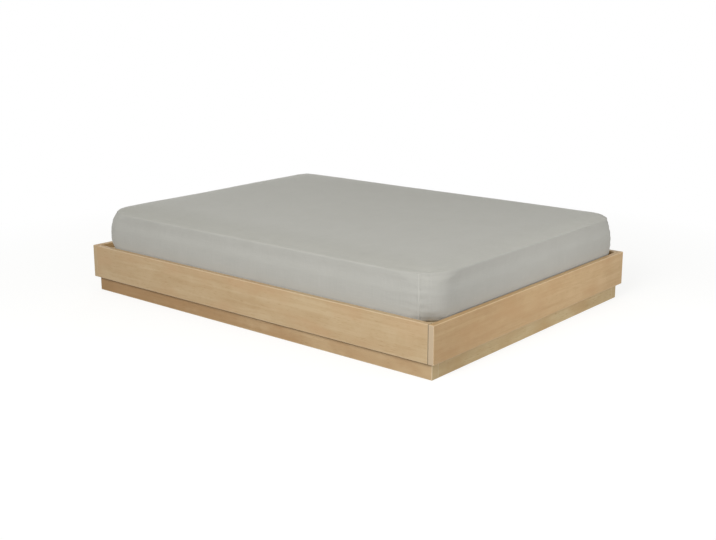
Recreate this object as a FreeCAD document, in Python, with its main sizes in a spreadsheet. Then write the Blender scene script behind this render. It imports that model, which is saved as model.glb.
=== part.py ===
"""A low slatted floor bed: plinth, maple frame, slat deck and a dressed mattress.

Millimetres. +Z is up, X runs from the head to the foot, and the origin is on the floor
under the middle of the bed. Every piece is an object of its own, sized from the sheet.
"""

import FreeCAD, Part
import math
import os
import re

import Sketcher

Vector = FreeCAD.Vector

# Each size that can be chosen by itself: name, value, meaning.
CHOSEN_SIZES = [
    ("mattress_length", 1905, "full mattress, over its sides"),
    ("mattress_width", 1396, "full mattress, over its sides"),
    ("mattress_height", 168, "slat deck to the mattress's top welt"),
    ("mattress_corner", 80, "corner radius of the mattress in plan"),
    ("mattress_crown", 35, "rise of the top above the welt"),
    ("crown_run", 150, "distance over which the top rises"),
    ("crown_rounding", 60, "growth of the corner radius up the crown"),
    ("top_draw", 9, "how far the welt is drawn in from the widest line"),
    ("bottom_draw", 6, "how far the side is drawn in at its foot"),
    ("bottom_rounding", 34, "rounding of the mattress's bottom edge"),
    ("comfort_depth", 50, "comfort foam below the welt"),
    ("cover_thickness", 4, "quilted cover"),
    ("sheet_thickness", 0.8, "fitted sheet"),
    ("layer_clearance", 0.3, "between layers that lie loose on each other"),
    ("hem_width", 80, "how far the sheet turns in under the mattress"),
    ("elastic_width", 8, "elastic along the hem"),
    ("end_clearance", 6, "mattress to head and foot rails"),
    ("side_clearance", 6, "mattress to side rails"),
    ("board_thickness", 25, "frame rails"),
    ("rail_height", 150, "frame rails"),
    ("rail_ease", 2.5, "rounding of the rails' edges"),
    ("plinth_height", 65, "plinth boards"),
    ("plinth_thickness", 38, "plinth boards and cross members"),
    ("plinth_inset", 19, "plinth behind the face of the rails"),
    ("plinth_ease", 1.5, "rounding of the plinth's edges"),
    ("block_width", 45, "corner blocks, both ways"),
    ("block_recess", 5, "corner blocks short of the plinth's top and bottom"),
    ("cleat_thickness", 25, "cleats that carry the slats"),
    ("cleat_height", 112, "cleats that carry the slats, and centre beam"),
    ("cleat_clearance", 0.5, "each end of a cleat and of the centre beam"),
    ("hidden_ease", 1, "rounding of edges inside the bed"),
    ("beam_width", 45, "centre beam"),
    ("slat_count", 14, "slats"),
    ("slat_width", 75, "slats"),
    ("slat_thickness", 18, "slats"),
    ("slat_ease", 3, "rounding of the slats' edges"),
    ("slat_end_clearance", 4, "slat ends to side rails"),
    ("first_slat_gap", 12, "end rail to the nearest slat"),
    ("bracket_leg", 60, "steel angle, each leg"),
    ("bracket_height", 40, "steel angle"),
    ("bracket_steel", 2.5, "steel angle's thickness"),
    ("bracket_lift", 3, "corner angle above the plinth"),
    ("dowel_radius", 4, "beech dowels"),
    ("dowel_length", 40, "beech dowels"),
    ("dowel_grip", 14, "dowel in the board that it meets face on"),
    ("tip_slack", 0.5, "room in a hole past the end of its dowel or screw"),
    ("hole_clearance", 0.1, "holes round dowels and screws"),
    ("screw_radius", 2, "wood screws"),
    ("head_radius", 4, "wood screw heads"),
    ("head_height", 2.5, "wood screw heads"),
    ("cleat_screw_length", 38, "cleat to rail"),
    ("slat_screw_length", 34, "slat to cleat or beam"),
    ("bracket_screw_length", 16, "angle to wood"),
    ("block_screw_length", 50, "corner block to plinth"),
    ("block_bore", 12, "depth of the block screws' heads in the block"),
    ("block_screw_split", 5, "block screws above and below the middle"),
    ("tie_radius", 2.5, "long screws from cleat or beam down to the plinth"),
    ("tie_head_radius", 5, "their heads"),
    ("tie_length", 140, "their length"),
    ("side_cleat_screws", 8, "screws along a side cleat"),
    ("end_cleat_screws", 4, "screws along an end cleat"),
    ("plinth_dowel_split", 16, "plinth dowels above and below the middle"),
    ("rail_dowel_low", 36, "lower rail dowel above the rail's bottom edge"),
    ("rail_dowel_high", 122, "upper rail dowel above the rail's bottom edge"),
]

# Sizes and places that follow from the chosen ones.
WORKED_OUT = {
    "inner_length": "mattress_length + 2 * end_clearance",
    "inner_width": "mattress_width + 2 * side_clearance",
    "outer_length": "inner_length + 2 * board_thickness",
    "outer_width": "inner_width + 2 * board_thickness",
    "plinth_length": "outer_length - 2 * plinth_inset",
    "plinth_width": "outer_width - 2 * plinth_inset",
    "plinth_inside": "plinth_width - 2 * plinth_thickness",
    "plinth_end_x": "plinth_length / 2 - plinth_thickness / 2",
    "plinth_side_y": "plinth_width / 2 - plinth_thickness / 2",
    "cleat_length": "inner_length - 2 * cleat_clearance",
    "cleat_face_x": "inner_length / 2 - cleat_thickness",
    "cleat_face_y": "inner_width / 2 - cleat_thickness",
    "cleat_mid_x": "inner_length / 2 - cleat_thickness / 2",
    "cleat_mid_y": "inner_width / 2 - cleat_thickness / 2",
    "cleat_mid_z": "plinth_height + cleat_height / 2",
    "cleat_top": "plinth_height + cleat_height",
    "deck_top": "cleat_top + slat_thickness",
    "slat_run": "inner_length - 2 * first_slat_gap - slat_width",
    "slat_pitch": "slat_run / (slat_count - 1)",
    "slat_length": "inner_width - 2 * slat_end_clearance",
    "beam_length": "2 * cleat_face_x - 2 * cleat_clearance",
    "block_x": "plinth_length / 2 - plinth_thickness - block_width / 2",
    "block_y": "plinth_inside / 2 - block_width / 2",
    "bracket_low": "plinth_height + bracket_lift",
    "bracket_mid": "bracket_low + bracket_height / 2",
    "hole_radius": "screw_radius + hole_clearance",
    "head_hole": "head_radius + hole_clearance",
    "dowel_hole": "dowel_radius + hole_clearance",
    "tie_hole": "tie_radius + hole_clearance",
    "tie_head_hole": "tie_head_radius + hole_clearance",
    "cover_depth": "sheet_thickness + layer_clearance",
    "lining_depth": "cover_depth + cover_thickness",
    "foam_depth": "lining_depth + layer_clearance",
    "comfort_low": "mattress_height - comfort_depth",
    "dowel_tail": "dowel_length - dowel_grip",
    "block_reach": "block_screw_length + block_bore - block_width + tip_slack",
    "cleat_reach": "cleat_screw_length + head_height - cleat_thickness + tip_slack",
    "bracket_reach": "bracket_screw_length - bracket_steel + tip_slack",
    "slat_reach": "slat_screw_length + head_height - slat_thickness + tip_slack",
    "tie_reach": "tie_length + head_height - cleat_height + tip_slack",
}

# Stations up the mattress: degrees round its bottom edge, shares of the side beside each
# foam and shares of the crown's run. WIDEST is the share of the height where the side is
# widest.
WIDEST = 0.45
EDGE_STATIONS = [0, 30, 60]
BORDER_STATIONS = [0, 0.35, 0.7, 1]
CROWN_STATIONS = [0.12, 0.3, 0.6, 1]

DOCUMENT = FreeCAD.newDocument("floor_bed")


def make_sheet():
    """The sheet that holds the chosen sizes, one named cell each."""
    sheet = DOCUMENT.addObject("Spreadsheet::Sheet", "Sizes")
    for row, (name, size, meaning) in enumerate(CHOSEN_SIZES, 1):
        sheet.set(f"A{row}", name)
        sheet.set(f"B{row}", str(size))
        sheet.set(f"C{row}", meaning)
        sheet.setAlias(f"B{row}", name)
    DOCUMENT.recompute()
    return sheet


SHEET = make_sheet()
CHOSEN_NAMES = {name for name, _, _ in CHOSEN_SIZES}


def spell(formula):
    """A formula in size names, written out in cells of the sheet."""
    def cell(match):
        word = match.group(0)
        if word in WORKED_OUT:
            return f"({spell(WORKED_OUT[word])})"
        return f"Sizes.{word}" if word in CHOSEN_NAMES else word
    return re.sub(r"[a-z_]+", cell, str(formula))


def value(formula):
    """What a formula comes to, in millimetres."""
    return float(SHEET.evalExpression(spell(formula)))


def bind(thing, name, formula):
    """Tie one property to a formula."""
    thing.setExpression(name, spell(formula))


def count(name):
    return int(round(value(name)))


# ---- a piece, its features and its bores --------------------------------------------

PLANES = {"X": "YZ_Plane", "Y": "XZ_Plane", "Z": "XY_Plane"}
ACROSS = {"X": (1, 2), "Y": (0, 2), "Z": (0, 1)}
NORMAL = {"X": 1, "Y": -1, "Z": 1}


class Piece:
    """One sub-part: a body with a label, and its place in the bed as three formulas."""

    every = []

    def __init__(self, label, place=(0, 0, 0)):
        self.body = DOCUMENT.addObject("PartDesign::Body", "Body_" + label)
        self.body.Label = label
        self.place = place
        for axis, formula in zip("xyz", place):
            bind(self.body, f"Placement.Base.{axis}", formula)
        Piece.every.append(self)

    def local(self, axis_index, formula):
        return f"({formula}) - ({self.place[axis_index]})"

    def sketch(self, name, axis, level):
        """A sketch square to an axis, at a height along it that is local to the piece."""
        sketch = self.body.newObject("Sketcher::SketchObject", name)
        origin = self.body.Origin.OriginFeatures
        plane = next(face for face in origin if face.Role == PLANES[axis])
        sketch.AttachmentSupport = [(plane, "")]
        sketch.MapMode = "FlatFace"
        bind(sketch, "AttachmentOffset.Base.z", f"{NORMAL[axis]} * ({level})")
        return sketch

    def feature(self, kind, name, profile, **settings):
        made = self.body.newObject("PartDesign::" + kind, name)
        made.Profile = profile
        for setting, formula in settings.items():
            if isinstance(formula, str):
                bind(made, setting, formula)
            else:
                setattr(made, setting, formula)
        DOCUMENT.recompute()
        return made

    def ease(self, radius, edges=None):
        """Round the piece's edges, all of them unless some are named."""
        tip = self.body.Tip
        names = edges or [f"Edge{n + 1}" for n in range(len(tip.Shape.Edges))]
        rounding = self.body.newObject("PartDesign::Fillet", "rounding")
        rounding.Base = (tip, names)
        bind(rounding, "Radius", radius)
        DOCUMENT.recompute()

    def discs(self, name, axis, level, points, radius):
        """A sketch of equal circles, at points given in the bed's own frame."""
        sketch = self.sketch(name, axis, self.local("XYZ".index(axis), level))
        for point in points:
            centre = [self.local(index, formula) for index, formula in zip(ACROSS[axis], point)]
            start = Vector(value(centre[0]), value(centre[1]), 0)
            circle = sketch.addGeometry(Part.Circle(start, Vector(0, 0, 1), value(radius)))
            for kind, formula in zip(("DistanceX", "DistanceY"), centre):
                rule = Sketcher.Constraint(kind, -1, 1, circle, 3, value(formula))
                bind(sketch, f"Constraints[{sketch.addConstraint(rule)}]", formula)
            rule = Sketcher.Constraint("Radius", circle, value(radius))
            bind(sketch, f"Constraints[{sketch.addConstraint(rule)}]", radius)
        return sketch

    def bore(self, axis, level, towards, points, radius, depth):
        """Round holes that start at a level and run towards +1 or -1 along the axis."""
        before = self.body.Shape.Volume
        discs = self.discs("bore_outline", axis, level, points, radius)
        self.feature("Pocket", "bore", discs, Length=str(depth),
                     Reversed=towards == NORMAL[axis])
        if self.body.Shape.Volume >= before:
            raise RuntimeError(f"{self.body.Label}: a bore along {axis} cuts nothing")

    def stud(self, axis, level, towards, points, radius, length):
        """Round bars that start at a level and run towards +1 or -1 along the axis."""
        discs = self.discs("stud_outline", axis, level, points, radius)
        self.feature("Pad", "stud", discs, Length=str(length),
                     Reversed=towards != NORMAL[axis])


def rectangle(sketch, length, depth):
    """A rectangle about the sketch's origin."""
    half_length, half_depth = value(length) / 2, value(depth) / 2
    corners = [
        Vector(-half_length, -half_depth, 0),
        Vector(half_length, -half_depth, 0),
        Vector(half_length, half_depth, 0),
        Vector(-half_length, half_depth, 0),
    ]
    for index, corner in enumerate(corners):
        sketch.addGeometry(Part.LineSegment(corner, corners[(index + 1) % 4]))
    for index in range(4):
        sketch.addConstraint(Sketcher.Constraint("Coincident", index, 2, (index + 1) % 4, 1))
    for index, kind in enumerate(("Horizontal", "Vertical", "Horizontal", "Vertical")):
        sketch.addConstraint(Sketcher.Constraint(kind, index))
    sketch.addConstraint(Sketcher.Constraint("Symmetric", 0, 1, 1, 2, -1, 1))
    for line, kind, formula in ((0, "DistanceX", length), (1, "DistanceY", depth)):
        rule = Sketcher.Constraint(kind, line, 1, line, 2, value(formula))
        bind(sketch, f"Constraints[{sketch.addConstraint(rule)}]", formula)


def board(label, place, spans, ease):
    """A straight board, its place at the middle of its underside."""
    length, depth, height = spans
    piece = Piece(label, place)
    outline = piece.sketch("outline", "Z", 0)
    rectangle(outline, length, depth)
    piece.feature("Pad", "blank", outline, Length=height)
    piece.ease(ease)
    return piece


# ---- where the fasteners are ---------------------------------------------------------

def spaced(number, span):
    """Places of a row of things about the middle, its first and last a span apart."""
    return [f"({index} - ({number} - 1) / 2) * ({span}) / ({number} - 1)"
            for index in range(number)]


def signed(sign, formula):
    return f"{sign} * ({formula})"


def slat_gap(share):
    """The middle of the gap between two slats, a share of the way down the bed."""
    index = round(share * (count("slat_count") - 2))
    return f"({index} + 0.5) * slat_pitch - slat_run / 2"


SIDES = {"left": 1, "right": -1}
ENDS = {"head": -1, "foot": 1}

SLAT_PLACES = spaced(count("slat_count"), "slat_run")
SIDE_CLEAT_PLACES = spaced(count("side_cleat_screws"), "slat_run")
END_CLEAT_PLACES = spaced(count("end_cleat_screws"), "inner_width * 3 / 4")
SIDE_TIE_PLACES = [slat_gap(share) for share in (0, 1 / 3, 2 / 3, 1)]
END_TIE_PLACES = [signed(sign, "inner_width / 4") for sign in (-1, 1)]
CROSS_PLACES = {"head": slat_gap(1 / 6), "middle": slat_gap(1 / 2), "foot": slat_gap(5 / 6)}
RAIL_DOWEL_LEVELS = ["plinth_height + rail_dowel_low", "plinth_height + rail_dowel_high"]
PLINTH_DOWEL_LEVELS = ["plinth_height / 2 - plinth_dowel_split",
                       "plinth_height / 2 + plinth_dowel_split"]
PLINTH_JOINT_PLACES = [signed(sign, "plinth_end_x") for sign in (-1, 1)]
PLINTH_JOINT_PLACES += CROSS_PLACES.values()
BRACKET_SCREW_SHARES = (0.4, 0.8)
BRACKET_SCREW_RISE = 0.25


def rail_dowel_points(side):
    return [(signed(side, "outer_width / 2 - board_thickness / 2"), level)
            for level in RAIL_DOWEL_LEVELS]


def plinth_dowel_points(places):
    return [(place, level) for place in places for level in PLINTH_DOWEL_LEVELS]


def bracket_points(corner, sign, middle):
    """Two screws on one leg: how far they lie from the bend, one above the other."""
    first, second = BRACKET_SCREW_SHARES
    return [
        (f"{corner} + {sign} * bracket_leg * {first}",
         f"{middle} - bracket_height * {BRACKET_SCREW_RISE}"),
        (f"{corner} + {sign} * bracket_leg * {second}",
         f"{middle} + bracket_height * {BRACKET_SCREW_RISE}"),
    ]


# ---- plinth --------------------------------------------------------------------------

def plinth_board(label, place, length, along_x):
    spans = (length, "plinth_thickness") if along_x else ("plinth_thickness", length)
    return board(label, place, (*spans, "plinth_height"), "plinth_ease")


def make_plinth():
    for name, side in SIDES.items():
        piece = plinth_board(f"plinth_side_{name}", (0, signed(side, "plinth_side_y"), 0),
                             "plinth_length", True)
        piece.bore("Y", signed(side, "plinth_inside / 2"), side,
                   plinth_dowel_points(PLINTH_JOINT_PLACES), "dowel_hole", "dowel_grip + tip_slack")
        piece.bore("Z", "plinth_height", -1,
                   [(place, signed(side, "cleat_mid_y")) for place in SIDE_TIE_PLACES],
                   "tie_hole", "tie_reach")
        for end in ENDS.values():
            piece.bore("Y", signed(side, "plinth_inside / 2"), side,
                       [(signed(end, "block_x"), "plinth_height / 2 - block_screw_split")],
                       "hole_radius", "block_reach")
    for name, end in ENDS.items():
        piece = plinth_board(f"plinth_{name}", (signed(end, "plinth_end_x"), 0, 0),
                             "plinth_inside", False)
        for side in SIDES.values():
            piece.bore("Y", signed(side, "plinth_inside / 2"), -side,
                       plinth_dowel_points([signed(end, "plinth_end_x")]),
                       "dowel_hole", "dowel_tail + tip_slack")
            piece.bore("X", signed(end, "plinth_length / 2 - plinth_thickness"), end,
                       [(signed(side, "block_y"), "plinth_height / 2 + block_screw_split")],
                       "hole_radius", "block_reach")
        piece.bore("Z", "plinth_height", -1,
                   [(signed(end, "cleat_mid_x"), place) for place in END_TIE_PLACES],
                   "tie_hole", "tie_reach")
    for name, place in CROSS_PLACES.items():
        piece = plinth_board(f"cross_member_{name}", (place, 0, 0), "plinth_inside", False)
        for side in SIDES.values():
            piece.bore("Y", signed(side, "plinth_inside / 2"), -side,
                       plinth_dowel_points([place]), "dowel_hole", "dowel_tail + tip_slack")
        piece.bore("Z", "plinth_height", -1, [(place, 0)], "tie_hole", "tie_reach")


def make_corner_blocks():
    for end_name, end in ENDS.items():
        for side_name, side in SIDES.items():
            piece = board(f"corner_block_{end_name}_{side_name}",
                          (signed(end, "block_x"), signed(side, "block_y"), "block_recess"),
                          ("block_width", "block_width", "plinth_height - 2 * block_recess"),
                          "hidden_ease")
            low = "plinth_height / 2 - block_screw_split"
            high = "plinth_height / 2 + block_screw_split"
            faces = (
                ("Y", signed(side, "plinth_inside / 2 - block_width"), side,
                 [(signed(end, "block_x"), low)]),
                ("X", signed(end, "block_x - block_width / 2"), end,
                 [(signed(side, "block_y"), high)]),
            )
            for axis, level, towards, points in faces:
                piece.bore(axis, level, towards, points, "head_hole", "block_bore")
                piece.bore(axis, level, towards, points, "hole_radius", "block_width")


# ---- frame ---------------------------------------------------------------------------

def make_rails():
    for name, side in SIDES.items():
        middle = signed(side, "outer_width / 2 - board_thickness / 2")
        piece = board(f"side_rail_{name}", (0, middle, "plinth_height"),
                      ("inner_length", "board_thickness", "rail_height"), "rail_ease")
        for end in ENDS.values():
            piece.bore("X", signed(end, "inner_length / 2"), -end, rail_dowel_points(side),
                       "dowel_hole", "dowel_tail + tip_slack")
        piece.bore("Y", signed(side, "inner_width / 2"), side,
                   [(place, "cleat_mid_z") for place in SIDE_CLEAT_PLACES],
                   "hole_radius", "cleat_reach")
    for name, end in ENDS.items():
        middle = signed(end, "outer_length / 2 - board_thickness / 2")
        piece = board(f"{name}_rail", (middle, 0, "plinth_height"),
                      ("board_thickness", "outer_width", "rail_height"), "rail_ease")
        for side in SIDES.values():
            piece.bore("X", signed(end, "inner_length / 2"), end, rail_dowel_points(side),
                       "dowel_hole", "dowel_grip + tip_slack")
        piece.bore("X", signed(end, "inner_length / 2"), end,
                   [(place, "cleat_mid_z") for place in END_CLEAT_PLACES],
                   "hole_radius", "cleat_reach")


# ---- cleats, beam and slats ----------------------------------------------------------

def countersunk(piece, axis, level, towards, points, through):
    """Holes for wood screws whose heads lie flush."""
    piece.bore(axis, level, towards, points, "head_hole", "head_height")
    piece.bore(axis, level, towards, points, "hole_radius", through)


def tied_down(piece, points):
    """Holes for the long screws that run down into the plinth."""
    piece.bore("Z", "cleat_top", -1, points, "tie_head_hole", "head_height")
    piece.bore("Z", "cleat_top", -1, points, "tie_hole", "cleat_height")


def make_cleats():
    for name, side in SIDES.items():
        middle = signed(side, "cleat_mid_y")
        piece = board(f"side_cleat_{name}", (0, middle, "plinth_height"),
                      ("cleat_length", "cleat_thickness", "cleat_height"), "hidden_ease")
        countersunk(piece, "Y", signed(side, "cleat_face_y"), side,
                    [(place, "cleat_mid_z") for place in SIDE_CLEAT_PLACES],
                    "cleat_thickness")
        tied_down(piece, [(place, middle) for place in SIDE_TIE_PLACES])
        piece.bore("Z", "cleat_top", -1, [(place, middle) for place in SLAT_PLACES],
                   "hole_radius", "slat_reach")
        for end in ENDS.values():
            piece.bore("Y", signed(side, "cleat_face_y"), side,
                       bracket_points(signed(end, "cleat_face_x"), -end, "bracket_mid"),
                       "hole_radius", "bracket_reach")
    for name, end in ENDS.items():
        middle = signed(end, "cleat_mid_x")
        piece = board(f"{name}_cleat", (middle, 0, "plinth_height"),
                      ("cleat_thickness", "2 * cleat_face_y - 2 * cleat_clearance",
                       "cleat_height"), "hidden_ease")
        countersunk(piece, "X", signed(end, "cleat_face_x"), end,
                    [(place, "cleat_mid_z") for place in END_CLEAT_PLACES],
                    "cleat_thickness")
        tied_down(piece, [(middle, place) for place in END_TIE_PLACES])
        for side in SIDES.values():
            piece.bore("X", signed(end, "cleat_face_x"), end,
                       bracket_points(signed(side, "cleat_face_y"), -side, "bracket_mid"),
                       "hole_radius", "bracket_reach")
            piece.bore("X", signed(end, "cleat_face_x"), end,
                       bracket_points(signed(side, "beam_width / 2"), side, "cleat_mid_z"),
                       "hole_radius", "bracket_reach")


def make_beam():
    piece = board("centre_beam", (0, 0, "plinth_height"),
                  ("beam_length", "beam_width", "cleat_height"), "hidden_ease")
    tied_down(piece, [(place, 0) for place in CROSS_PLACES.values()])
    piece.bore("Z", "cleat_top", -1, [(place, 0) for place in SLAT_PLACES],
               "hole_radius", "slat_reach")
    for end in ENDS.values():
        for side in SIDES.values():
            piece.bore("Y", signed(side, "beam_width / 2"), -side,
                       bracket_points(signed(end, "cleat_face_x"), -end, "cleat_mid_z"),
                       "hole_radius", "bracket_reach")


def slat_screw_points(place):
    return [(place, row) for row in (signed(1, "cleat_mid_y"), 0, signed(-1, "cleat_mid_y"))]


def make_slats():
    for number, place in enumerate(SLAT_PLACES, 1):
        piece = board(f"slat_{number:02d}", (place, 0, "cleat_top"),
                      ("slat_width", "slat_length", "slat_thickness"), "slat_ease")
        countersunk(piece, "Z", "deck_top", -1, slat_screw_points(place), "slat_thickness")


# ---- steel angles --------------------------------------------------------------------

def make_angle(label, corner, low, ends):
    """A bent steel angle in a corner, its legs running the two ways given."""
    along, across = ends
    piece = Piece(label, (*corner, low))
    outline = piece.sketch("outline", "Z", 0)
    leg, steel = "bracket_leg", "bracket_steel"
    far_x, near_x = signed(along, leg), signed(along, steel)
    far_y, near_y = signed(across, leg), signed(across, steel)
    corners = [("0", "0"), (far_x, "0"), (far_x, near_y), (near_x, near_y),
               (near_x, far_y), ("0", far_y)]
    points = [Vector(value(x), value(y), 0) for x, y in corners]
    for index, point in enumerate(points):
        outline.addGeometry(Part.LineSegment(point, points[(index + 1) % 6]))
    for index in range(6):
        outline.addConstraint(Sketcher.Constraint("Coincident", index, 2, (index + 1) % 6, 1))
    for index, (x, y) in enumerate(corners):
        for kind, formula in (("DistanceX", x), ("DistanceY", y)):
            rule = Sketcher.Constraint(kind, -1, 1, index, 1, value(formula))
            bind(outline, f"Constraints[{outline.addConstraint(rule)}]", formula)
    piece.feature("Pad", "blank", outline, Length="bracket_height")
    middle = f"{low} + bracket_height / 2"
    piece.bore("Y", corner[1], across, bracket_points(corner[0], along, middle),
               "hole_radius", steel)
    piece.bore("X", corner[0], along, bracket_points(corner[1], across, middle),
               "hole_radius", steel)
    return piece


def make_angles():
    for end_name, end in ENDS.items():
        for side_name, side in SIDES.items():
            make_angle(f"corner_angle_{end_name}_{side_name}",
                       (signed(end, "cleat_face_x"), signed(side, "cleat_face_y")),
                       "bracket_low", (-end, -side))
            make_angle(f"beam_angle_{end_name}_{side_name}",
                       (signed(end, "cleat_face_x"), signed(side, "beam_width / 2")),
                       "cleat_mid_z - bracket_height / 2", (-end, side))


# ---- dowels and screws ---------------------------------------------------------------

def screws(piece, axis, level, towards, points, length, thick="screw_radius",
           head="head_radius"):
    """Screws whose shanks run from a level, their heads standing back from it."""
    piece.stud(axis, level, -towards, points, head, "head_height")
    piece.stud(axis, level, towards, points, thick, length)


def make_dowels():
    piece = Piece("plinth_dowels")
    for side in SIDES.values():
        piece.stud("Y", signed(side, "plinth_inside / 2 + dowel_grip"), -side,
                   plinth_dowel_points(PLINTH_JOINT_PLACES), "dowel_radius", "dowel_length")
    piece = Piece("rail_dowels")
    for end in ENDS.values():
        for side in SIDES.values():
            piece.stud("X", signed(end, "inner_length / 2 + dowel_grip"), -end,
                       rail_dowel_points(side), "dowel_radius", "dowel_length")


def make_cleat_screws():
    piece = Piece("cleat_screws")
    for side in SIDES.values():
        screws(piece, "Y", signed(side, "cleat_face_y + head_height"), side,
               [(place, "cleat_mid_z") for place in SIDE_CLEAT_PLACES],
               "cleat_screw_length")
    for end in ENDS.values():
        screws(piece, "X", signed(end, "cleat_face_x + head_height"), end,
               [(place, "cleat_mid_z") for place in END_CLEAT_PLACES],
               "cleat_screw_length")


def make_tie_screws():
    points = [(place, signed(side, "cleat_mid_y"))
              for side in SIDES.values() for place in SIDE_TIE_PLACES]
    points += [(signed(end, "cleat_mid_x"), place)
               for end in ENDS.values() for place in END_TIE_PLACES]
    points += [(place, 0) for place in CROSS_PLACES.values()]
    screws(Piece("tie_screws"), "Z", "cleat_top - head_height", -1, points, "tie_length",
           "tie_radius", "tie_head_radius")


def make_slat_screws():
    points = [point for place in SLAT_PLACES for point in slat_screw_points(place)]
    screws(Piece("slat_screws"), "Z", "deck_top - head_height", -1, points,
           "slat_screw_length")


def make_block_screws():
    piece = Piece("block_screws")
    for end in ENDS.values():
        for side in SIDES.values():
            seat = "plinth_inside / 2 - block_width + block_bore"
            screws(piece, "Y", signed(side, seat), side,
                   [(signed(end, "block_x"), "plinth_height / 2 - block_screw_split")],
                   "block_screw_length")
            seat = "block_x - block_width / 2 + block_bore"
            screws(piece, "X", signed(end, seat), end,
                   [(signed(side, "block_y"), "plinth_height / 2 + block_screw_split")],
                   "block_screw_length")


def make_angle_screws():
    corner = Piece("corner_angle_screws")
    beam = Piece("beam_angle_screws")
    for end in ENDS.values():
        for side in SIDES.values():
            screws(corner, "Y", signed(side, "cleat_face_y - bracket_steel"), side,
                   bracket_points(signed(end, "cleat_face_x"), -end, "bracket_mid"),
                   "bracket_screw_length")
            screws(corner, "X", signed(end, "cleat_face_x - bracket_steel"), end,
                   bracket_points(signed(side, "cleat_face_y"), -side, "bracket_mid"),
                   "bracket_screw_length")
            screws(beam, "Y", signed(side, "beam_width / 2 + bracket_steel"), -side,
                   bracket_points(signed(end, "cleat_face_x"), -end, "cleat_mid_z"),
                   "bracket_screw_length")
            screws(beam, "X", signed(end, "cleat_face_x - bracket_steel"), end,
                   bracket_points(signed(side, "beam_width / 2"), side, "cleat_mid_z"),
                   "bracket_screw_length")


# ---- mattress and sheet --------------------------------------------------------------

def border_inset(share):
    """How far the side is drawn in at a share of its height: none where it is widest."""
    if share < WIDEST:
        return f"bottom_draw * {((WIDEST - share) / WIDEST) ** 2}"
    return f"top_draw * {((share - WIDEST) / (1 - WIDEST)) ** 2}"


def rounded_outline(sketch, inset, corner):
    """The mattress's outline in plan, drawn in all round, its corners arcs."""
    half_x = f"mattress_length / 2 - ({inset})"
    half_y = f"mattress_width / 2 - ({inset})"
    reach_x, reach_y, radius = value(half_x), value(half_y), value(corner)
    flat_x, flat_y = reach_x - radius, reach_y - radius
    middles = [(flat_x, -flat_y), (flat_x, flat_y), (-flat_x, flat_y), (-flat_x, -flat_y)]
    ends = [(Vector(-flat_x, -reach_y, 0), Vector(flat_x, -reach_y, 0)),
            (Vector(reach_x, -flat_y, 0), Vector(reach_x, flat_y, 0)),
            (Vector(flat_x, reach_y, 0), Vector(-flat_x, reach_y, 0)),
            (Vector(-reach_x, flat_y, 0), Vector(-reach_x, -flat_y, 0))]
    quarter = math.pi / 2
    for index in range(4):
        sketch.addGeometry(Part.LineSegment(*ends[index]))
        circle = Part.Circle(Vector(*middles[index], 0), Vector(0, 0, 1), radius)
        start = (index - 1) * quarter
        sketch.addGeometry(Part.ArcOfCircle(circle, start, start + quarter))
    for index in range(4):
        line, arc, after = 2 * index, 2 * index + 1, (2 * index + 2) % 8
        sketch.addConstraint(Sketcher.Constraint("Tangent", line, 2, arc, 1))
        sketch.addConstraint(Sketcher.Constraint("Tangent", arc, 2, after, 1))
    for line, kind in ((0, "Horizontal"), (2, "Vertical"), (4, "Horizontal"), (6, "Vertical")):
        sketch.addConstraint(Sketcher.Constraint(kind, line))
    for arc in (3, 5, 7):
        sketch.addConstraint(Sketcher.Constraint("Equal", 1, arc))
    rules = [
        (Sketcher.Constraint("Radius", 1, radius), corner),
        (Sketcher.Constraint("DistanceX", -1, 1, 2, 1, reach_x), half_x),
        (Sketcher.Constraint("DistanceX", 6, 1, -1, 1, reach_x), half_x),
        (Sketcher.Constraint("DistanceY", 0, 1, -1, 1, reach_y), half_y),
        (Sketcher.Constraint("DistanceY", -1, 1, 4, 1, reach_y), half_y),
    ]
    for rule, formula in rules:
        bind(sketch, f"Constraints[{sketch.addConstraint(rule)}]", formula)


def side_outline(piece, depth, level, turned="0"):
    """An outline of the side at a level, turned in further where the edge is rounded."""
    sketch = piece.sketch("side_outline", "Z", level)
    drawn = border_inset(value(level) / value("mattress_height"))
    rounded_outline(sketch, f"{drawn} + {depth} + ({turned})",
                    f"mattress_corner - ({depth}) - ({turned})")
    return sketch


def edge_sections(piece, depth, low):
    """Outlines round the bottom edge, a depth inside the outer skin, up from a level."""
    radius = f"(bottom_rounding - ({depth}))"
    sections = []
    for degrees in EDGE_STATIONS:
        angle = math.radians(degrees)
        sections.append(side_outline(piece, depth, f"({low}) + {radius} * {1 - math.cos(angle)}",
                                     f"{radius} * {1 - math.sin(angle)}"))
    return sections


def border_sections(piece, depth, low, high):
    """Outlines up the side, a depth inside the outer skin, from one level to another."""
    return [side_outline(piece, depth, f"({low}) + (({high}) - ({low})) * {share}")
            for share in BORDER_STATIONS]


def lower_side(piece, depth, low):
    """Outlines up to the comfort foam, the rounded bottom edge first."""
    return [*edge_sections(piece, depth, low),
            *border_sections(piece, depth, f"{low} + bottom_rounding - ({depth})",
                             "comfort_low")]


def upper_side(piece, depth):
    """Outlines beside the comfort foam, up to the welt."""
    return border_sections(piece, depth, "comfort_low", "mattress_height")


def crown_sections(piece, depth):
    """Outlines up the crown, a depth inside the outer skin, from the welt to the top."""
    sketch = piece.sketch("welt_outline", "Z", "mattress_height")
    rounded_outline(sketch, f"top_draw + {depth}", f"mattress_corner - ({depth})")
    sections = [sketch]
    for share in CROWN_STATIONS:
        rise = 1 - (1 - share) ** 3
        sketch = piece.sketch("crown_outline", "Z",
                              f"mattress_height + mattress_crown * {rise} - ({depth})")
        rounded_outline(sketch, f"top_draw + crown_run * {share} + {depth}",
                        f"mattress_corner - ({depth}) + crown_rounding * {share}")
        sections.append(sketch)
    return sections


def loft(piece, kind, sections):
    piece.feature(kind, "skin", sections[0], Sections=sections[1:])


BED_OF_MATTRESS = (0, 0, "deck_top")


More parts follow.
